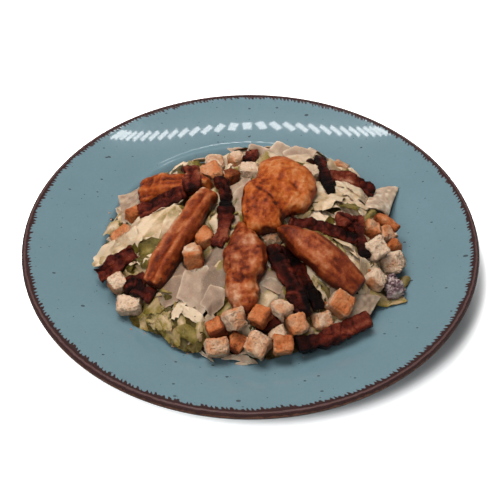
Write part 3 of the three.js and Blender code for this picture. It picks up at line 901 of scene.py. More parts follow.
class Sheets:
    """Collects many thin closed pieces and joins them as one mesh."""

    def __init__(self, rings, sectors):
        self.rings, self.sectors = rings, sectors
        self.share, self.angle = disc(rings, sectors)
        self.points, self.faces, self.marks = [], [], {}
        self.count = 0

    def ring(self, seed):
        """Which way each point of the disc lies, in a plane of its own for noise."""
        return columns(np.cos(self.angle), np.sin(self.angle), seed % 97)

    def drawn_out(self, outline, length, width):
        """The disc with that outline, length and width."""
        reach = self.share * outline
        return reach * np.cos(self.angle) * length / 2, reach * np.sin(self.angle) * width / 2

    def add(self, middle, thick, **marks):
        """Gives a bent disc a thickness, half of it to each side."""
        n, rings, sectors = len(middle), self.rings, self.sectors
        half = facing(middle, rings, sectors) * (np.broadcast_to(thick, n) / 2)[:, None]
        base = self.count
        self.points.append(np.vstack([middle + half, middle - half]))
        for key, values in marks.items():
            values = np.broadcast_to(values, n)
            self.marks.setdefault(key, []).append(np.concatenate([values, values]))
        onward = (np.arange(sectors) + 1) % sectors
        for i, j in enumerate(onward.tolist()):
            for first, step in ((base, 1), (base + n, -1)):
                self.faces.append((first, first + 1 + i, first + 1 + j)[::step])
                for a in range(first + 1, first + 1 + (rings - 1) * sectors, sectors):
                    b = a + sectors
                    self.faces.append((a + i, b + i, b + j, a + j)[::step])
            edge = base + 1 + (rings - 1) * sectors
            self.faces.append((edge + i, edge + n + i, edge + n + j, edge + j))
        self.count += 2 * n

    def make(self, name, material, slot, *nodes):
        piece = new_object(name, np.vstack(self.points), self.faces)
        for key, values in self.marks.items():
            paint(piece.data, key, np.concatenate(values))
        self.sharpen(piece.data)
        finish_piece(piece, material, slot, *nodes)

    def sharpen(self, mesh):
        """Keeps the edge round each piece crisp, between its faces and its narrow side."""
        index = np.arange(self.count)
        face = index // len(self.share)
        outermost = index % len(self.share) > (self.rings - 1) * self.sectors
        ends = np.empty(len(mesh.edges) * 2, int)
        mesh.edges.foreach_get("vertices", ends)
        a, b = ends.reshape(-1, 2).T
        sharp = outermost[a] & outermost[b] & (face[a] == face[b])
        mesh.attributes.new("sharp_edge", "BOOLEAN", "EDGE").data.foreach_set("value", sharp)


LEAF_LIMITS = (-10, 8)  # how far a leaf may go below and above the heap


def laid(x, y, lift, thick, at, turn, limits=LEAF_LIMITS):
    """Lays a flat piece on the heap round a place, under every topping."""
    x, y = turned(x, y, turn, at)
    z = heap_top(x, y) + np.clip(lift, *limits)
    z = np.minimum(z, ceiling(x, y) - thick / 2)
    z = np.maximum(z, floor_above(x, y) + thick / 2)
    return columns(x, y, z)


# ---- Leaves ----

# count is how many leaves are scattered, with length, width and greenness within these ranges.
# corners is how square a leaf is. Its surface has lumps as high as crumple, folds as wide as that
# along, across and through it, a ruffle at its edge and a rib. It turns up on its edge by up to
# roll degrees, bow bends it sideways, limp makes it sag, and tilt slopes it. mottle is how patchy
# its colour is, and mesh is its rings and sectors.
ANY_LEAF = {"count": 0, "folds": (9, 3.5, 5), "limp": 0.012, "tilt": 0.0, "mottle": 1.0}
LEAVES = {
    "heart": {
        **ANY_LEAF, "count": 118, "length": (13, 25), "width": (9, 17), "green": (-0.1, 0.36),
        "thick": 0.6, "corners": 3.0, "crumple": 1.2, "ruffle": 0.9, "rib": 0.6, "roll": 42,
        "bow": 0.004, "mesh": (8, 30),
    },
    "shred": {
        **ANY_LEAF, "count": 100, "length": (14, 28), "width": (3.5, 7), "green": (0.0, 0.85),
        "thick": 0.7, "corners": 5.0, "crumple": 0.5, "ruffle": 0.5, "rib": 0.7, "roll": 50,
        "bow": 0.012, "limp": 0.008, "mesh": (6, 24),
    },
    "tip": {
        **ANY_LEAF, "count": 110, "length": (12, 21), "width": (7, 13), "green": (0.45, 1.0),
        "thick": 0.35, "corners": 2.8, "crumple": 0.6, "ruffle": 0.6, "rib": 0.1, "roll": 50,
        "bow": 0.008, "mesh": (7, 26),
    },
    "blade": {
        **ANY_LEAF, "folds": (9, 8, 8), "thick": 0.6, "corners": 2.6, "crumple": 0.75,
        "ruffle": 1.4, "rib": 0.25, "roll": 6, "bow": 0.002, "limp": 0.004, "mesh": (14, 60),
    },
    "torn": {
        **ANY_LEAF, "folds": (7, 2.6, 5), "thick": 0.35, "corners": 2.4, "crumple": 0.6,
        "ruffle": 0.7, "rib": 0.15, "roll": 24, "bow": 0.004, "limp": 0.01, "tilt": 0.3,
        "mottle": 0.35, "mesh": (9, 34),
    },
}  # fmt: skip

# Leaves that stand out: kind, x, y, length, width, turn in degrees, greenness, lift.
MARKED_LEAVES = [
    ("blade", -57, -8, 40, 31, 50, 0.18, 4.8),
    ("torn", -52, 8, 16, 10, 20, -0.2, 6.5),
    ("blade", -50, 7, 20, 14, 20, -0.05, 6.0),
    ("torn", -68, -4, 15, 9, 70, -0.15, 5.5),
    ("torn", -69, -14, 14, 8, 100, -0.1, 5.5),
    ("torn", -66, -21, 12, 7, 120, 0.0, 5.5),
    ("heart", -44, -14, 22, 14, 70, 0.3, 2.5),
    ("tip", -63, -30, 26, 14, 10, 0.85, 3.0),
    ("tip", -56, -36, 20, 11, -20, 0.8, 3.0),
    ("tip", -81, -14, 20, 12, 40, 0.75, 2.5),
    ("heart", -84, -22, 18, 9, 20, 0.1, 3.0),
    ("torn", -60, -65, 15, 11, -30, 1.15, 1.0),
    ("torn", -50, -62, 13, 9, -20, 1.2, 1.6),
    ("torn", -51, -71, 13, 9, -30, 1.1, 1.0),
    ("torn", -42, -70, 15, 11, -50, 1.2, 1.4),
    ("torn", -36, -77, 18, 12, -40, 1.15, 1.6),
    ("torn", -28, -84, 13, 9, 60, 1.1, 1.6),
    ("torn", -37, -84, 14, 7, -20, 1.2, 1.2),
    ("torn", -55, -63, 15, 8, -35, 0.46, 3.6),
    ("torn", -47, -71, 18, 6, -68, 0.46, 3.4),
    ("torn", -43, -79, 15, 6, -45, 0.44, 3.0),
    ("torn", -37, -76, 11, 4, -80, 0.38, 3.8),
    ("torn", -32, -82, 15, 6, -30, 0.6, 3.4),
    ("torn", -27, -79, 14, 4, 82, 0.4, 3.8),
    ("torn", -60, -69, 13, 4, -32, 0.3, 0.6),
    ("torn", -39, -68, 12, 8, 80, -0.4, 3.6),
    ("torn", -31, -73, 15, 5, -38, -0.2, 3.8),
    ("tip", -14, -48, 16, 10, 20, 0.9, 2.5),
    ("tip", -16, -60, 14, 7, 60, 0.7, 2.0),
    ("heart", 33, 42, 24, 14, 20, 0.1, 2.5),
    ("blade", 54, 8, 30, 20, -20, 0.15, 3.4),
    ("blade", 43, 9, 28, 23, 50, 0.12, 4.6),
    ("blade", 60, 22, 24, 17, -10, 0.08, 4.6),
    ("torn", 57, 3, 15, 9, -12, 0.75, 4.4),
    ("torn", 54, -26, 20, 6, -42, 0.1, 4.0),
    ("torn", 59, -30, 20, 6, -48, 0.05, 4.5),
    ("torn", 50, -20, 10, 5, -40, 0.7, 4.5),
    ("torn", 66, 8, 11, 6, 20, 0.0, 5.4),
    ("tip", 74, -34, 14, 8, 20, 0.8, 2.5),
    ("shred", 76, -52, 20, 8, 10, 0.3, 2.0),
    ("tip", 42, -26, 20, 10, -40, 0.75, 0.5),
    ("tip", 32, -62, 16, 8, -50, 0.75, 1.5),
    ("tip", 46, -52, 16, 10, 30, 0.7, 1.0),
    ("shred", 84, -44, 22, 7, 60, 0.5, 2.5),
]

# Where no scattered leaves or flakes lie, because those of the lists cover the heap there.
CLEAR = [
    ((-29, -52), (15, 15)),
    ((-58, -6), (21, 16)),
    ((50, 13), (22, 15)),
    ((-44, -72), (18, 12)),
    ((16, 58), (24, 9)),
    ((-7, 12), (9, 20)),
    ((12, -56), (12, 12)),
]

# The small mixed pieces at the front left.
TANGLE = {
    "at": (-46, -71), "reach": (19, 11), "count": 40, "turn": -55, "sway": 35, "length": (6, 13),
    "width": (2.5, 5), "lift": (0.5, 3), "greens": (0.34, 0.45, 0.48, 1.15, 1.3),
}  # fmt: skip


NARROW = 11  # leaves up to this wide turn up all the way


def add_leaf(sheets, rng, kind, at, size, turn, green, lift):
    """One torn or shredded leaf. size is its length and width."""
    share = sheets.share
    seed = new_seed(rng)
    ring = sheets.ring(seed)
    corner = kind["corners"]
    square = (np.abs(ring[:, 0]) ** corner + np.abs(ring[:, 1]) ** corner) ** (-1 / corner)
    outline = square * (1 + 0.2 * noise(ring, 0.5, seed) + 0.13 * noise(ring, 0.22, seed + 1))
    x, y = sheets.drawn_out(outline, *size)
    flat = columns(x, y, seed % 89)
    height = kind["crumple"] * (noise(flat, 6.5, seed + 2) + 0.5 * noise(flat, 2.9, seed + 3))
    height += 0.5 * kind["crumple"] * (1 - 2 * np.abs(noise(flat, kind["folds"], seed + 6)))
    waves = noise(ring, 0.3, seed + 4) + 0.5 * np.sin(11 * sheets.angle + seed)
    height += kind["ruffle"] * share**3 * waves
    height += rng.uniform(-1.5, 2.5) * kind["limp"] * y**2
    height += kind["tilt"] * (math.sin(seed) * x + math.cos(seed) * y)
    ribbed = kind["rib"] * np.exp(-((y / 1.5) ** 2))
    roll = math.radians(rng.uniform(-1, 1) * kind["roll"] * min(1, NARROW / size[1]))
    y, height = turned(y, height, roll)
    y = y + rng.uniform(-1, 1) * kind["bow"] * x**2
    height = height - rng.uniform(-0.6, 1) * kind["limp"] * x**2
    raised = lift + height + 0.3 * abs(math.sin(roll)) * size[1]
    thick = kind["thick"] * (1 + 0.9 * ribbed) * (1 - 0.5 * share**4)
    mottle = 0.28 * noise(flat, 7, seed + 5) + 0.22 * noise(flat, (8, 2.2, 5), seed + 7)
    tint = green + 0.3 * (share - 0.5) * (green > 0.2) + kind["mottle"] * mottle - 0.06 * height
    sheets.add(laid(x, y, raised, thick, at, turn), thick, green=tint, rib=ribbed)


EDGE_BETWEEN = (60, 100)  # the radii between which the edge of the heap lies
EDGE_HEIGHT = 1.2  # how far the heap stands over the plate at its edge
OUTLINE_DEGREES = np.arange(0, 365, 5)


def heap_outline(degrees):
    """The CAD heap's radius at an angle, found by walking outwards."""
    radius = np.arange(*EDGE_BETWEEN, 0.5)
    angle = math.radians(degrees % 360)
    x, y = radius * math.cos(angle), radius * math.sin(angle)
    return radius[heap_top(x, y) - plate_top(x, y) > EDGE_HEIGHT].max()


OUTLINE = [heap_outline(degrees) for degrees in OUTLINE_DEGREES]


def outline_at(angle):
    return np.interp(np.degrees(angle) % 360, OUTLINE_DEGREES, OUTLINE)


INSET = 3.0  # how far inside the edge of the heap the outermost places are


def spiral(count, rng):
    """Places spread evenly over the heap from its middle outwards, with their angle and share."""
    golden = math.pi * (3 - math.sqrt(5))
    start = rng.uniform(0, 2 * math.pi)
    for i in range(count):
        angle = start + i * golden + rng.uniform(-0.2, 0.2)
        share = math.sqrt((i + 0.5) / count)
        radius = share * (outline_at(angle) - INSET)
        yield (radius * math.cos(angle), radius * math.sin(angle)), angle, share


def kept_in(at, size, turn):
    """Moves a leaf inwards if it would stick out over the edge of the heap."""
    ends = np.array([(a, b) for a in (-0.5, 0, 0.5) for b in (-0.5, 0, 0.5)]) * size
    x, y = turned(*ends.T, turn, at)
    excess = max(0, (np.hypot(x, y) - outline_at(np.arctan2(y, x))).max())
    return np.multiply(at, 1 - excess / np.hypot(*at))


LEAVES_LOWERED = 8  # how much lower they lie where the rim shows
ALONG_EDGE = 0.85  # from this share of the heap's radius outwards, they lie along its edge


def make_leaves(material):
    rng = np.random.default_rng(SEED)
    for name, kind in LEAVES.items():
        sheets = Sheets(*kind["mesh"])
        for at, angle, share in spiral(kind["count"], rng):
            if is_in(CLEAR, at):
                continue
            sunk = LEAVES_LOWERED * is_in([RIM_SHOWS], at)
            size = (rng.uniform(*kind["length"]), rng.uniform(*kind["width"]))
            turn = rng.uniform(0, 2 * math.pi)
            if share > ALONG_EDGE:
                turn = angle + math.pi / 2 + rng.uniform(-0.6, 0.6)
            at = kept_in(at, size, turn)
            lift = rng.uniform(-0.5, 2.5) - sunk
            add_leaf(sheets, rng, kind, at, size, turn, rng.uniform(*kind["green"]), lift)
        for marked, x, y, length, width, turn, green, lift in MARKED_LEAVES:
            if marked == name:
                add_leaf(sheets, rng, kind, (x, y), (length, width), math.radians(turn), green, lift)
        if name == "torn":
            add_tangle(sheets, rng, kind)
        sheets.make(f"romaine_{name}s", material, "leaves")


def add_tangle(sheets, rng, kind):
    (mid_x, mid_y), (reach_x, reach_y) = TANGLE["at"], TANGLE["reach"]
    for _ in range(TANGLE["count"]):
        u, v = rng.normal(0, 0.5, 2)
        at = (mid_x + u * reach_x, mid_y + v * reach_y)
        size = (rng.uniform(*TANGLE["length"]), rng.uniform(*TANGLE["width"]))
        turn = math.radians(TANGLE["turn"] + rng.normal(0, TANGLE["sway"]))
        green = rng.choice(TANGLE["greens"])
        at, lift = kept_in(at, size, turn), rng.uniform(*TANGLE["lift"])
        add_leaf(sheets, rng, kind, at, size, turn, green, lift)


# ---- Cheese ----

# Flakes that show: x, y, length, width, turn in degrees, lift, slope to the right, slope to the
# back, how pale.
SHAVINGS = [
    (18, 58, 17, 15, 45, 2.0, 0.0, 1.0, 0.7),
    (46, 60, 24, 17, 0, 2.0, 0.0, 0.9, 0.7),
    (31, 55, 22, 12, 0, 4.0, 0.1, 0.8, 0.5),
    (4, 57, 18, 10, -10, 3.0, 0.0, 0.9, 0.5),
    (-11, 46, 17, 8, 45, 4.5, 0.0, 0.6, 0.95),
    (-43, -57, 22, 18, 20, 3.4, 0.05, 0.05, 0.22),
    (-36, -46, 22, 14, 62, 4.0, 0.22, 0.05, 0.12),
    (-25, -44, 19, 18, 15, 3.6, -0.12, 0.1, 0.0),
    (-20, -34, 18, 15, -10, 4.0, 0.05, 0.25, 0.1),
    (-30, -58, 30, 17, 80, 4.9, -0.12, 0.05, 0.45),
    (-18, -55, 24, 18, 60, 3.8, -0.15, 0.0, 0.0),
    (-20, -65, 17, 14, 75, 5.2, 0.12, 0.1, 0.35),
    (11, -52, 22, 16, -30, 2.5, 0.1, 0.0, 0.3),
    (14, -59, 22, 13, -10, 2.0, 0.0, 0.1, 0.3),
    (22, -64, 18, 12, 10, 1.0, 0.0, 0.0, 0.3),
    (44, 9, 26, 18, 10, 3.5, 0.0, 0.1, 0.5),
    (34, 22, 22, 16, 50, 3.0, 0.0, 0.1, 0.5),
    (-8, 20, 24, 15, 70, 2.5, 0.0, 0.1, 0.5),
    (-5, 4, 22, 16, 50, 3.2, 0.0, 0.1, 0.45),
    (-8, -12, 20, 12, 90, 2.0, 0.0, 0.0, 0.3),
    (-29, -87, 22, 1.3, -34, 1.2, 0.0, 0.0, 0.7),
    (-6, -93, 15, 3, -8, 0.9, 0.0, 0.0, 0.5),
    (-3, -95, 12, 2.5, 5, 0.4, 0.0, 0.0, 0.6),
    (-2, -91, 14, 3, -3, 2.0, 0.0, 0.0, 0.5),
    (60, -62, 22, 12, 30, 1.5, 0.0, 0.0, 0.6),
    (66, 22, 22, 14, -10, 3.0, 0.0, 0.2, 0.5),
    (-4, 62, 20, 10, -20, 3.0, 0.0, 0.3, 0.5),
    (-58, 32, 18, 12, 30, 2.5, 0.0, 0.1, 0.3),
    (26, -14, 14, 9, 10, 1.0, 0.0, 0.0, 0.3),
    (-48, -28, 20, 10, 50, 1.0, 0.0, 0.0, 0.3),
    (58, -6, 18, 11, -40, 2.5, 0.0, 0.0, 0.4),
    (-70, 14, 18, 12, 50, 2.5, 0.1, 0.1, 0.3),
]
SMALL = {
    "count": 56, "length": (7, 14), "width": (5, 9), "slope": 0.25, "lift": (1.5, 3.5),
    "pale": (0, 0.8),
}  # fmt: skip
FLAKE_THICK = 0.7
FLAKE_LIMITS = (-4, 12)  # how far a flake may go below and above the heap


def add_shaving(sheets, rng, at, size, turn, lift, slope, pale):
    """A flake with a few straight broken sides."""
    seed = new_seed(rng)
    sides = rng.integers(4, 6)
    facings = (np.arange(sides) + rng.uniform(-0.25, 0.25, sides)) * 2 * math.pi / sides
    reach = rng.uniform(0.72, 1.0, sides)
    aslant = np.cos(sheets.angle[:, None] - facings)
    outline = np.min(np.where(aslant > 0.15, reach / np.maximum(aslant, 0.15), 9), axis=1)
    ring = sheets.ring(seed)
    ragged = 1 + 0.06 * noise(ring, 0.3, seed + 1) + 0.05 * noise(ring, 0.12, seed)
    x, y = sheets.drawn_out(np.minimum(outline, 1.3) * ragged, *size)
    flat = columns(x, y, seed % 89)
    height = lift - rng.uniform(-0.003, 0.01) * x**2
    height += 0.45 * noise(flat, 5, seed) + 0.15 * noise(flat, 2, seed + 2)
    right, back = turned(x, y, turn)
    height += slope[0] * right + slope[1] * back
    # Paler towards the flake's edge, partly the cheese's own tone and partly a painted highlight on its
    # rim.
    rind = pale - 0.1 + 0.42 * sheets.share**8 + 0.22 * noise(flat, 3, seed + 3)
    middle = laid(x, y, height, FLAKE_THICK, at, turn, FLAKE_LIMITS)
    sheets.add(middle, FLAKE_THICK, rind=rind)


def make_shavings(material):
    rng = np.random.default_rng(SEED + 1)
    sheets = Sheets(rings=6, sectors=44)
    for x, y, length, width, turn, lift, right, back, pale in SHAVINGS:
        size, slope = (length, width), (right, back)
        add_shaving(sheets, rng, (x, y), size, math.radians(turn), lift, slope, pale)
    for at, _, _ in spiral(SMALL["count"], rng):
        if is_in([*CLEAR, RIM_SHOWS], at):
            continue
        size = (rng.uniform(*SMALL["length"]), rng.uniform(*SMALL["width"]))
        slope = rng.uniform(-SMALL["slope"], SMALL["slope"], 2)
        turn, lift, pale = rng.uniform(0, 6), rng.uniform(*SMALL["lift"]), rng.uniform(*SMALL["pale"])
        add_shaving(sheets, rng, at, size, turn, lift, slope, pale)
    sheets.make("cheese_shavings", material, "cheese")


LARGE_FLAKES = {"cheese_right": 0.72, "cheese_left": 0.42, "cheese_near": 0.55}  # how pale


def make_cheese_nodes(material):
    for node, pale in LARGE_FLAKES.items():
        piece, mesh, places, out = fine_copy(node, node + "_shaving", VOXEL["cheese"], rounds=2)
        places = places + out * (0.2 * fractal(places, 2.6, 3, SEED))[:, None]
        places[:, 2] += 0.4 * noise(places, 12, SEED + 5)
        axes, middle = own_axes(places)
        move_to(mesh, places)
        own = np.abs((places - middle) @ axes.T)
        edge = smoothstep(0.8, 1, np.max(own[:, :2] / own[:, :2].max(axis=0), axis=1))
        # Paler towards the flake's edge, partly the cheese's own tone and partly a painted highlight on
        # its rim.
        paint(mesh, "rind", pale + 0.5 * edge + 0.3 * noise(places, 2.2, SEED + 6))
        finish_piece(piece, material, "cheese", node)


# ---- Croutons ----

# How toasted each one is, from pale to brown, in the order of their numbers.
TOAST = [
    0.1, 0.65, 0.95, 0.3, 0.2, 0.15, 0.65, 0.65, 0.55, 0.15, 0.12, 0.9, 0.55, 0.6, 0.8, 0.2, -0.2,
    0.5, -0.1, 0.1, 0.4, 0.32, 0.32, 0.3, 0.32, 0.7, 0.28, 0.8, 0.3, 1.0, 0.28, 0.5, 0.1,
]  # fmt: skip
HOLES = 2.3  # how far apart they are
SMALL_HOLES = 1.25


SAME_WAY = math.cos(math.radians(10))  # facets at less than this to each other make one face
OTHER_WAY = math.cos(math.radians(70))  # and faces at more than this meet at a corner


def crouton_frame(node):
    """The three directions of a crouton's faces, as rows."""
    totals = []
    for face in sorted(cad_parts[node].data.polygons, key=lambda face: -face.area):
        n = np.array(face.normal)
        for total in totals:
            if abs(np.dot(total[0], n)) > SAME_WAY:
                total[1] += face.area
                break
        else:
            totals.append([n, face.area])
    totals.sort(key=lambda total: -total[1])
    first = totals[0][0]
    second = next(n for n, _ in totals if abs(np.dot(n, first)) < OTHER_WAY)
    second = second - first * np.dot(second, first)
    second /= np.linalg.norm(second)
    return np.array([first, second, np.cross(first, second)])


def make_croutons(material):
    nodes = [n for n in TOPPINGS if n.startswith("crouton_")]
    for i, (node, toast) in enumerate(zip(nodes, TOAST)):
        piece, mesh, places, out = fine_copy(node, node + "_bread", VOXEL["crouton"], rounds=2)
        seed = SEED + 100 + i
        rng = np.random.default_rng(seed)
        axes = crouton_frame(node)
        own = (places - places.mean(axis=0)) @ axes.T
        low, high = own.min(axis=0), own.max(axis=0)
        share = np.abs((own - (low + high) / 2) / ((high - low) / 2))
        edge = smoothstep(0.72, 0.98, np.sort(share, axis=1)[:, 1])
        own_out = out @ axes.T
        by_face = rng.uniform(-0.3, 0.38, 6)
        faced = np.sum(np.clip(np.hstack([own_out, -own_out]), 0, 1) ** 2 * by_face, axis=1)

        # Large and small holes, drawn out of round, and a rough crumb between them.
        bent = places + 0.5 * np.stack([noise(places, 1.7, seed + k) for k in range(3)], axis=1)
        squeezed = bent * rng.uniform(0.75, 1.25, 3)
        away = pores(squeezed, HOLES, seed) + 0.3 * noise(places, 4, seed + 9)
        holes = 1 - smoothstep(0.1, 0.42, away)
        small = 1 - smoothstep(0.08, 0.42, pores(bent, SMALL_HOLES, seed + 3))
        crumb = 1 - 0.6 * toast
        shape = 0.7 * noise(places, 7, seed + 4) + 0.35 * noise(places, 3.2, seed + 5)
        shape += 0.3 * fractal(places, 1.7, 2, seed)
        depth = crumb * (0.42 * holes + 0.38 * small) - shape + 0.25 * edge
        move_to(mesh, places - out * depth[:, None])
        paint(mesh, "toast", toast + faced + 0.28 * edge - 0.1 + 0.2 * noise(places, 4, seed))
        # Painted shade: the material colours the crumb darker where the holes are.
        paint(mesh, "pore", np.clip(holes + 0.6 * small, 0, 1) * crumb)
        finish_piece(piece, material, "crouton", node)


# ---- Bacon ----

# How blackened each strip is, at even steps from its far or left end to its near or right end.
CHAR = {
    "bacon_back_upright": (0.5, 0.36, 0.5, 0.8),
    "bacon_back_flat": (0.45, 0.55, 0.6, 0.5),
    "bacon_twisted": (1.0, 0.55, 1.0, 0.55, 0.32, 0.45),
    "bacon_left_edge": (0.45, 0.5, 0.5, 0.45),
    "bacon_left_under": (0.8, 0.5),
    "bacon_left_end": (0.95, 0.5),
    "bacon_far": (0.2, 0.65),
    "bacon_far_right_dark": (0.95, 0.7, 0.9, 1.0),
    "bacon_far_right": (0.35, 0.2, 0.3, 0.75),
    "bacon_thin": (0.4, 0.7, 0.45, 0.6),
    "bacon_right_fold": (0.45, 0.45, 0.5),
    "bacon_right_dark": (0.45, 0.4, 0.5, 1.0),
    "bacon_front_left": (0.5, 0.85, 0.5, 0.8, 0.7),
    "bacon_front_right": (0.55, 0.75, 0.5, 1.0, 1.0),
    "bacon_near_edge": (0.85, 0.75, 0.5, 0.35, 0.3, 0.45),
    "bacon_near_under": (0.6, 0.6),
}


def make_bacon(material):
    for i, (node, char) in enumerate(CHAR.items()):
        piece, mesh, places, out = fine_copy(node, node + "_rasher", VOXEL["bacon"], rounds=2)
        seed = SEED + 200 + i
        axes, middle = own_axes(places)
        if axes[0] @ (1, -1, 0) < 0:
            axes[0] = -axes[0]
        along, across, _ = ((places - middle) @ axes.T).T
        outwards = np.abs(across) / np.abs(across).max()
        side = np.sign(across)

        # Pleats across the strip, a wavy edge and a few deep creases.
        strip = columns(along, 0.3 * across, seed)
        pleats = noise(strip, 4.6, seed) + 0.45 * noise(strip, 2.1, seed + 1)
        wavy = 1.1 * noise(columns(along, 9 * side, 0), 3.4, seed + 5)
        pits = creases(places, 6, seed + 6)
        depth = 0.9 * pleats + 0.6 * fractal(places, 4, 3, seed + 2) - 0.7 * pits
        sideways = np.outer(wavy * side * smoothstep(0.3, 1, outwards), axes[1])
        move_to(mesh, places + out * depth[:, None] + sideways)

        share = (along - along.min()) / np.ptp(along) + 0.06 * noise(places, 4, seed + 3)
        black = np.interp(share, np.linspace(0, 1, len(char)), char)
        streaks = noise(columns(0.12 * along, across, 0), 2.4, seed + 4)
        rim = smoothstep(0.65, 1.0, outwards)
        # Painted shade: darker in the creases and between the pleats, paler on the pleats' crests.
        paint(mesh, "char", black + 0.12 * rim - 0.16 * pleats + 0.2 * pits - 0.22 * streaks)
        finish_piece(piece, material, "bacon", node)


# Scraps too small for a node of their own: from, to, width, lift above the heap.
BACON_SCRAPS = [
    ((-75, 24), (-71, 12), 3, 3.5),
    ((11, -41), (18, -49), 4, 2.0),
    ((-17, -84), (-7, -89), 4, 1.5),
    ((-29, -33), (-25, -36), 2.5, 3.0),
    ((58, -54), (61, -58), 2.5, 2.0),
    ((34, 47), (42, 44), 5, 5.0),
]
SCRAP_BLACK = 0.75
SCRAP_THICK = 1.8


def make_scraps(material):
    rng = np.random.default_rng(SEED + 6)
    sheets = Sheets(rings=6, sectors=24)
    for start, end, width, lift in BACON_SCRAPS:
        run = np.subtract(end, start)
        seed = new_seed(rng)
        x, y = sheets.drawn_out(1, np.hypot(*run), width)
        bumps = 0.6 * noise(columns(x, y, seed % 83), 2.5, seed)
        thick = SCRAP_THICK * np.sqrt(1.02 - sheets.share**2)
        middle = laid(x, y, lift + bumps, thick, np.add(start, end) / 2, math.atan2(run[1], run[0]))
        sheets.add(middle, thick, char=SCRAP_BLACK + 0.3 * bumps)
    sheets.make("bacon_scraps", material, "bacon")


# ---- Chicken ----

# fill closes clefts. How browned it is and orange set the colour, and shade is how far hollows are
# darkened as painted shade.
# ridges run lengthwise, lumps and torn shape the surface, grit roughens it, and taper narrows the
# far and the near end. creases are lines of x, y. pale and dark hold patches of x, y, radius, and
# paleness is how pale the first get.
ANY_CHICKEN = {
    "fill": 0, "ridges": 0.0, "torn": 0.1, "lumps": 0.9, "grit": 0.1, "taper": (0, 0),
    "creases": [], "pale": [], "paleness": 0.3, "dark": [],
}  # fmt: skip
CHICKEN = {
    "chicken_top": {
        **ANY_CHICKEN, "fill": 6, "browning_and_shade": 0.66, "shade": 0.4, "orange": 1.0, "torn": 0.15,
        "grit": 0.25, "creases": [((0, 12), (6, -2), (15, -10), (19, -18)), ((24, 6), (31, 0))],
        "pale": [(13, 21, 9), (25, 17, 7), (3, -28, 5), (30, -4, 9), (31, 10, 9)],
        "dark": [(6, -14, 8)],
    },
    "chicken_front": {
        **ANY_CHICKEN, "fill": 2, "browning_and_shade": 0.72, "shade": 0.35, "orange": 0.4, "torn": 0.2,
        "lumps": 1.2, "grit": 0.3, "taper": (0.35, 0),
        "creases": [((-12, -54), (-7, -61), (2, -60), (8, -57))], "paleness": 0.36,
        "pale": [(-1, -38, 5), (1, -51, 3), (-8, -50, 3), (1, -64, 6), (-8, -69, 6), (-12, -54, 4)],
        "dark": [(1, -74, 5), (-5, -59, 4), (4, -46, 6), (-4, -56, 4)],
    },
    "chicken_left": {
        **ANY_CHICKEN, "browning_and_shade": 0.75, "shade": 0.15, "orange": 0.4, "ridges": 0.45,
        "taper": (0, 0.1), "pale": [(-30, 8, 5), (-36, -2, 4), (-40, -22, 4)],
        "dark": [(-49, -55, 8), (-45, -48, 6)],
    },
    "chicken_right": {
        **ANY_CHICKEN, "browning_and_shade": 0.83, "shade": 0.15, "orange": 0.3, "ridges": 0.12,
        "lumps": 0.5, "taper": (0.4, 0), "pale": [(28, -36, 5), (40, -46, 6), (34, -30, 4)],
    },
    "chicken_back": {
        **ANY_CHICKEN, "fill": 2, "browning_and_shade": 0.8, "shade": 0.5, "orange": 0.8, "ridges": 0.4,
        "torn": 0.3, "lumps": 1.2, "grit": 0.15, "pale": [(-44, 34, 5), (-56, 27, 4)],
        "paleness": 0.26,
    },
}  # fmt: skip


def from_line(places, line):
    """Each point's distance in plan to a line of x, y."""
    nearest = np.full(len(places), 99.0)
    for a, b in zip(np.array(line), np.array(line)[1:]):
        along = np.clip((places[:, :2] - a) @ (b - a) / ((b - a) @ (b - a)), 0, 1)
        away = places[:, :2] - a - along[:, None] * (b - a)
        nearest = np.minimum(nearest, np.hypot(away[:, 0], away[:, 1]))
    return nearest


def patches(places, spots, seed):
    """1 inside ragged spots of x, y, radius, and 0 away from them."""
    inside = np.zeros(len(places))
    ragged = 0.8 * fractal(places, 4, 3, seed)
    for x, y, radius in spots:
        away = np.hypot(places[:, 0] - x, places[:, 1] - y) / radius
        inside = np.maximum(inside, smoothstep(1.4, 0.3, away + ragged))
    return inside


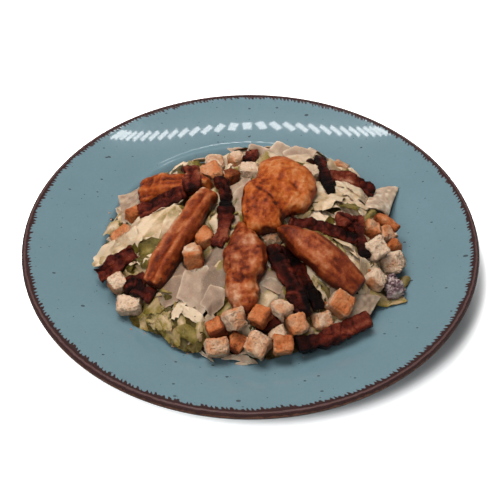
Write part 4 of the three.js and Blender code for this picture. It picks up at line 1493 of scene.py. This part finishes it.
def make_chicken(material):
    for i, (node, look) in enumerate(CHICKEN.items()):
        size, fill = VOXEL["chicken"], look["fill"]
        piece, mesh, places, out = fine_copy(node, node + "_breast", size, rounds=6, fill=fill)
        seed = SEED + 300 + i
        axes, middle = own_axes(places)
        if axes[0][1] > 0:
            axes[0] = -axes[0]
        own = (places - middle) @ axes.T
        u, v, _ = (own / np.abs(own).max(axis=0)).T
        narrow = look["taper"][0] * smoothstep(-0.3, -1, u) + look["taper"][1] * smoothstep(0.3, 1, u)
        places = places - np.outer(narrow * own[:, 1], axes[1])

        wander = noise(columns(own[:, 0], 0, 0), 14, seed + 6)
        ridged = -np.cos(7 * v + 1.2 * wander)
        strands = noise(own, (14, 1.7, 1.7), seed)
        torn = look["torn"] * (1 - 3 * np.abs(noise(places, 5, seed + 11)))
        lumps = look["lumps"] * (fractal(places, 11, 3, seed + 2) + torn)
        lumps += look["grit"] * noise(places, 1.5, seed + 3)
        cleft = np.zeros(len(places))
        for line in look["creases"]:
            away = from_line(places + 1.2 * noise(places, 5, seed + 7)[:, None], line)
            cleft = np.maximum(cleft, np.exp(-((away / 1.9) ** 2)))
        pale, dark = (patches(places, look[key], seed + 8) for key in ("pale", "dark"))
        depth = 0.16 * strands + look["ridges"] * ridged - cleft + lumps
        move_to(mesh, places + out * depth[:, None])
        # Painted shade and highlight: hollows, creases and faces that turn downwards are coloured darker
        # as painted shade, and ridge tops paler, partly as pale crust and partly as painted highlight.
        dips = np.clip(hollowness(mesh, rounds=10), -0.5, look["shade"])
        below = smoothstep(0.65, -0.3, out[:, 2])
        amount = look["browning_and_shade"] + 0.6 * dips + 0.5 * below - 0.12 * strands + 0.1 * cleft
        amount -= 0.35 * look["ridges"] * np.clip(ridged, 0, 1) ** 2
        amount += 0.14 * noise(places, 8, seed + 5) + 0.12 * noise(places, 2.2, seed + 9)
        amount += 0.18 * dark - look["paleness"] * pale
        paint(mesh, "browning_and_shade", amount)
        patchy = 0.5 * noise(places, 9, seed + 10) * (1 - look["orange"])
        paint(mesh, "orange", look["orange"] + patchy)
        finish_piece(piece, material, "chicken", node)


# ---- Lollo rosso ----

FRILLS = {"count": 26, "size": (2.8, 5), "thick": 0.35}


def make_frill(material):
    """Small ruffled lobes packed over the CAD tuft."""
    low, high = (np.array(corner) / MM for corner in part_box("red_leaf"))
    middle, half = (low + high) / 2, (high - low) / 2
    rng = np.random.default_rng(SEED + 4)
    sheets = Sheets(rings=6, sectors=54)
    share, angle = sheets.share, sheets.angle
    for i in range(FRILLS["count"]):
        up = rng.uniform(-0.1, 1)
        around = rng.uniform(0, 2 * math.pi)
        ground = math.sqrt(1 - up * up)
        direction = np.array([ground * math.cos(around), ground * math.sin(around), up])
        centre = middle + direction * half * rng.uniform(0.35, 0.8)
        side = np.cross(direction, rng.normal(size=3))
        side /= np.linalg.norm(side)
        other = np.cross(direction, side)
        size = rng.uniform(*FRILLS["size"])
        lobes = 1 + 0.16 * np.sin(3 * angle + i) + 0.07 * np.sin(11 * angle + 2 * i)
        x, y = sheets.drawn_out(lobes, 2 * size, 1.4 * size)
        waves = 0.9 * np.sin(7 * angle + i) + 0.5 * np.sin(13 * angle + 3 * i)
        wave = share**2 * (waves - 0.25 * size)
        bent = centre + np.outer(x, side) + np.outer(y, other) + np.outer(wave, direction)
        bent[:, 2] = np.maximum(bent[:, 2], floor_above(bent[:, 0], bent[:, 1]))
        sheets.add(bent, FRILLS["thick"], edge=0.15 + 0.7 * share**2 - 0.15 * wave)
    sheets.make("lollo_rosso_frill", material, "red_leaf", "red_leaf")


# ---- Crumbs and dressing ----

# from_edge is how far outside the heap's edge crumbs lie, or inside it where that is below 0. One
# in fallen_every has rolled off the heap, by fallen on average.
CRUMBS = {
    "count": 150, "size": (0.8, 2.4), "toast": (-0.1, 0.8), "from_edge": (-40, 3), "fallen": 6,
    "fallen_every": 10,
}  # fmt: skip
# Smears: their middle, their length and width, their turn in degrees.
DRESSING = [((46, -77), (20, 4), 5), ((36, -80), (12, 5), -10), ((-19, -101), (2.4, 1.4), 20)]


def add_bit(sheets, rng, at, size, turn, plump, **marks):
    """A lens-shaped bit that lies on what is below it. plump is its height as share of its width."""
    seed = new_seed(rng)
    outline = 1 + 0.3 * noise(sheets.ring(seed), 0.6, seed)
    x, y = turned(*sheets.drawn_out(outline, *size), turn, at)
    thick = plump * min(size) * np.sqrt(1.03 - sheets.share**2)
    ground = np.maximum(heap_top(x, y), plate_top(x, y))
    sheets.add(columns(x, y, ground + thick / 2), thick, **marks)


def make_crumbs(material):
    rng = np.random.default_rng(SEED + 8)
    sheets = Sheets(rings=4, sectors=12)
    for i in range(CRUMBS["count"]):
        angle = rng.uniform(0, 2 * math.pi)
        fallen = i % CRUMBS["fallen_every"] == 0
        away = rng.exponential(CRUMBS["fallen"]) if fallen else rng.uniform(*CRUMBS["from_edge"])
        radius = outline_at(angle) + away
        size = rng.uniform(*CRUMBS["size"]) * (1 if away < 1 else 0.6)
        at = (radius * math.cos(angle), radius * math.sin(angle))
        if is_in([RIM_SHOWS], at):
            continue
        turn, toast = rng.uniform(0, 6), rng.uniform(*CRUMBS["toast"])
        add_bit(sheets, rng, at, (size, 0.8 * size), turn, plump=0.8, toast=toast, pore=0.0)
    sheets.make("bread_crumbs", material, "crouton")


def make_dressing(material):
    rng = np.random.default_rng(SEED + 9)
    sheets = Sheets(rings=6, sectors=32)
    for at, size, turn in DRESSING:
        add_bit(sheets, rng, at, size, math.radians(turn), plump=0.12)
    sheets.make("dressing_smears", material, "leaves")


# ---- Stage ----


STAGE_SIDES = 48


def make_stage():
    """A white floor, and a round white wall that only the camera sees."""
    turn = np.arange(STAGE_SIDES) * 2 * math.pi / STAGE_SIDES
    ring = BACKDROP_RADIUS * columns(np.cos(turn), np.sin(turn), 0)
    below = ring - [0, 0, FLOOR_DROP]
    floor = new_object("studio_floor", below, [tuple(range(STAGE_SIDES))], smooth=False)
    floor.data.materials.append(floor_material())
    onward = [(i, (i + 1) % STAGE_SIDES) for i in range(STAGE_SIDES)]
    faces = [(i, j, STAGE_SIDES + j, STAGE_SIDES + i) for i, j in onward]
    walls = np.vstack([ring, ring + [0, 0, BACKDROP_HEIGHT]])
    backdrop = new_object("studio_backdrop", walls, faces, smooth=False)
    backdrop.data.materials.append(backdrop_material())
    backdrop.visible_diffuse = backdrop.visible_shadow = False
    for stage in (floor, backdrop):
        stage.visible_glossy = False
        stage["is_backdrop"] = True


add_camera()
add_light()
make_stage()
make_plate(glaze_material())
make_core(core_material())
make_leaves(leaf_material())
cheese = cheese_material()
make_shavings(cheese)
make_cheese_nodes(cheese)
bread = crumb_material()
make_croutons(bread)
make_crumbs(bread)
bacon = bacon_material()
make_bacon(bacon)
make_scraps(bacon)
make_chicken(chicken_material())
make_frill(frill_material())
make_dressing(dressing_material())

sizes = {"cad": cad_bounds, "visual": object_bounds()}
{name: [list(corner) for corner in box] for name, box in sizes.items()}
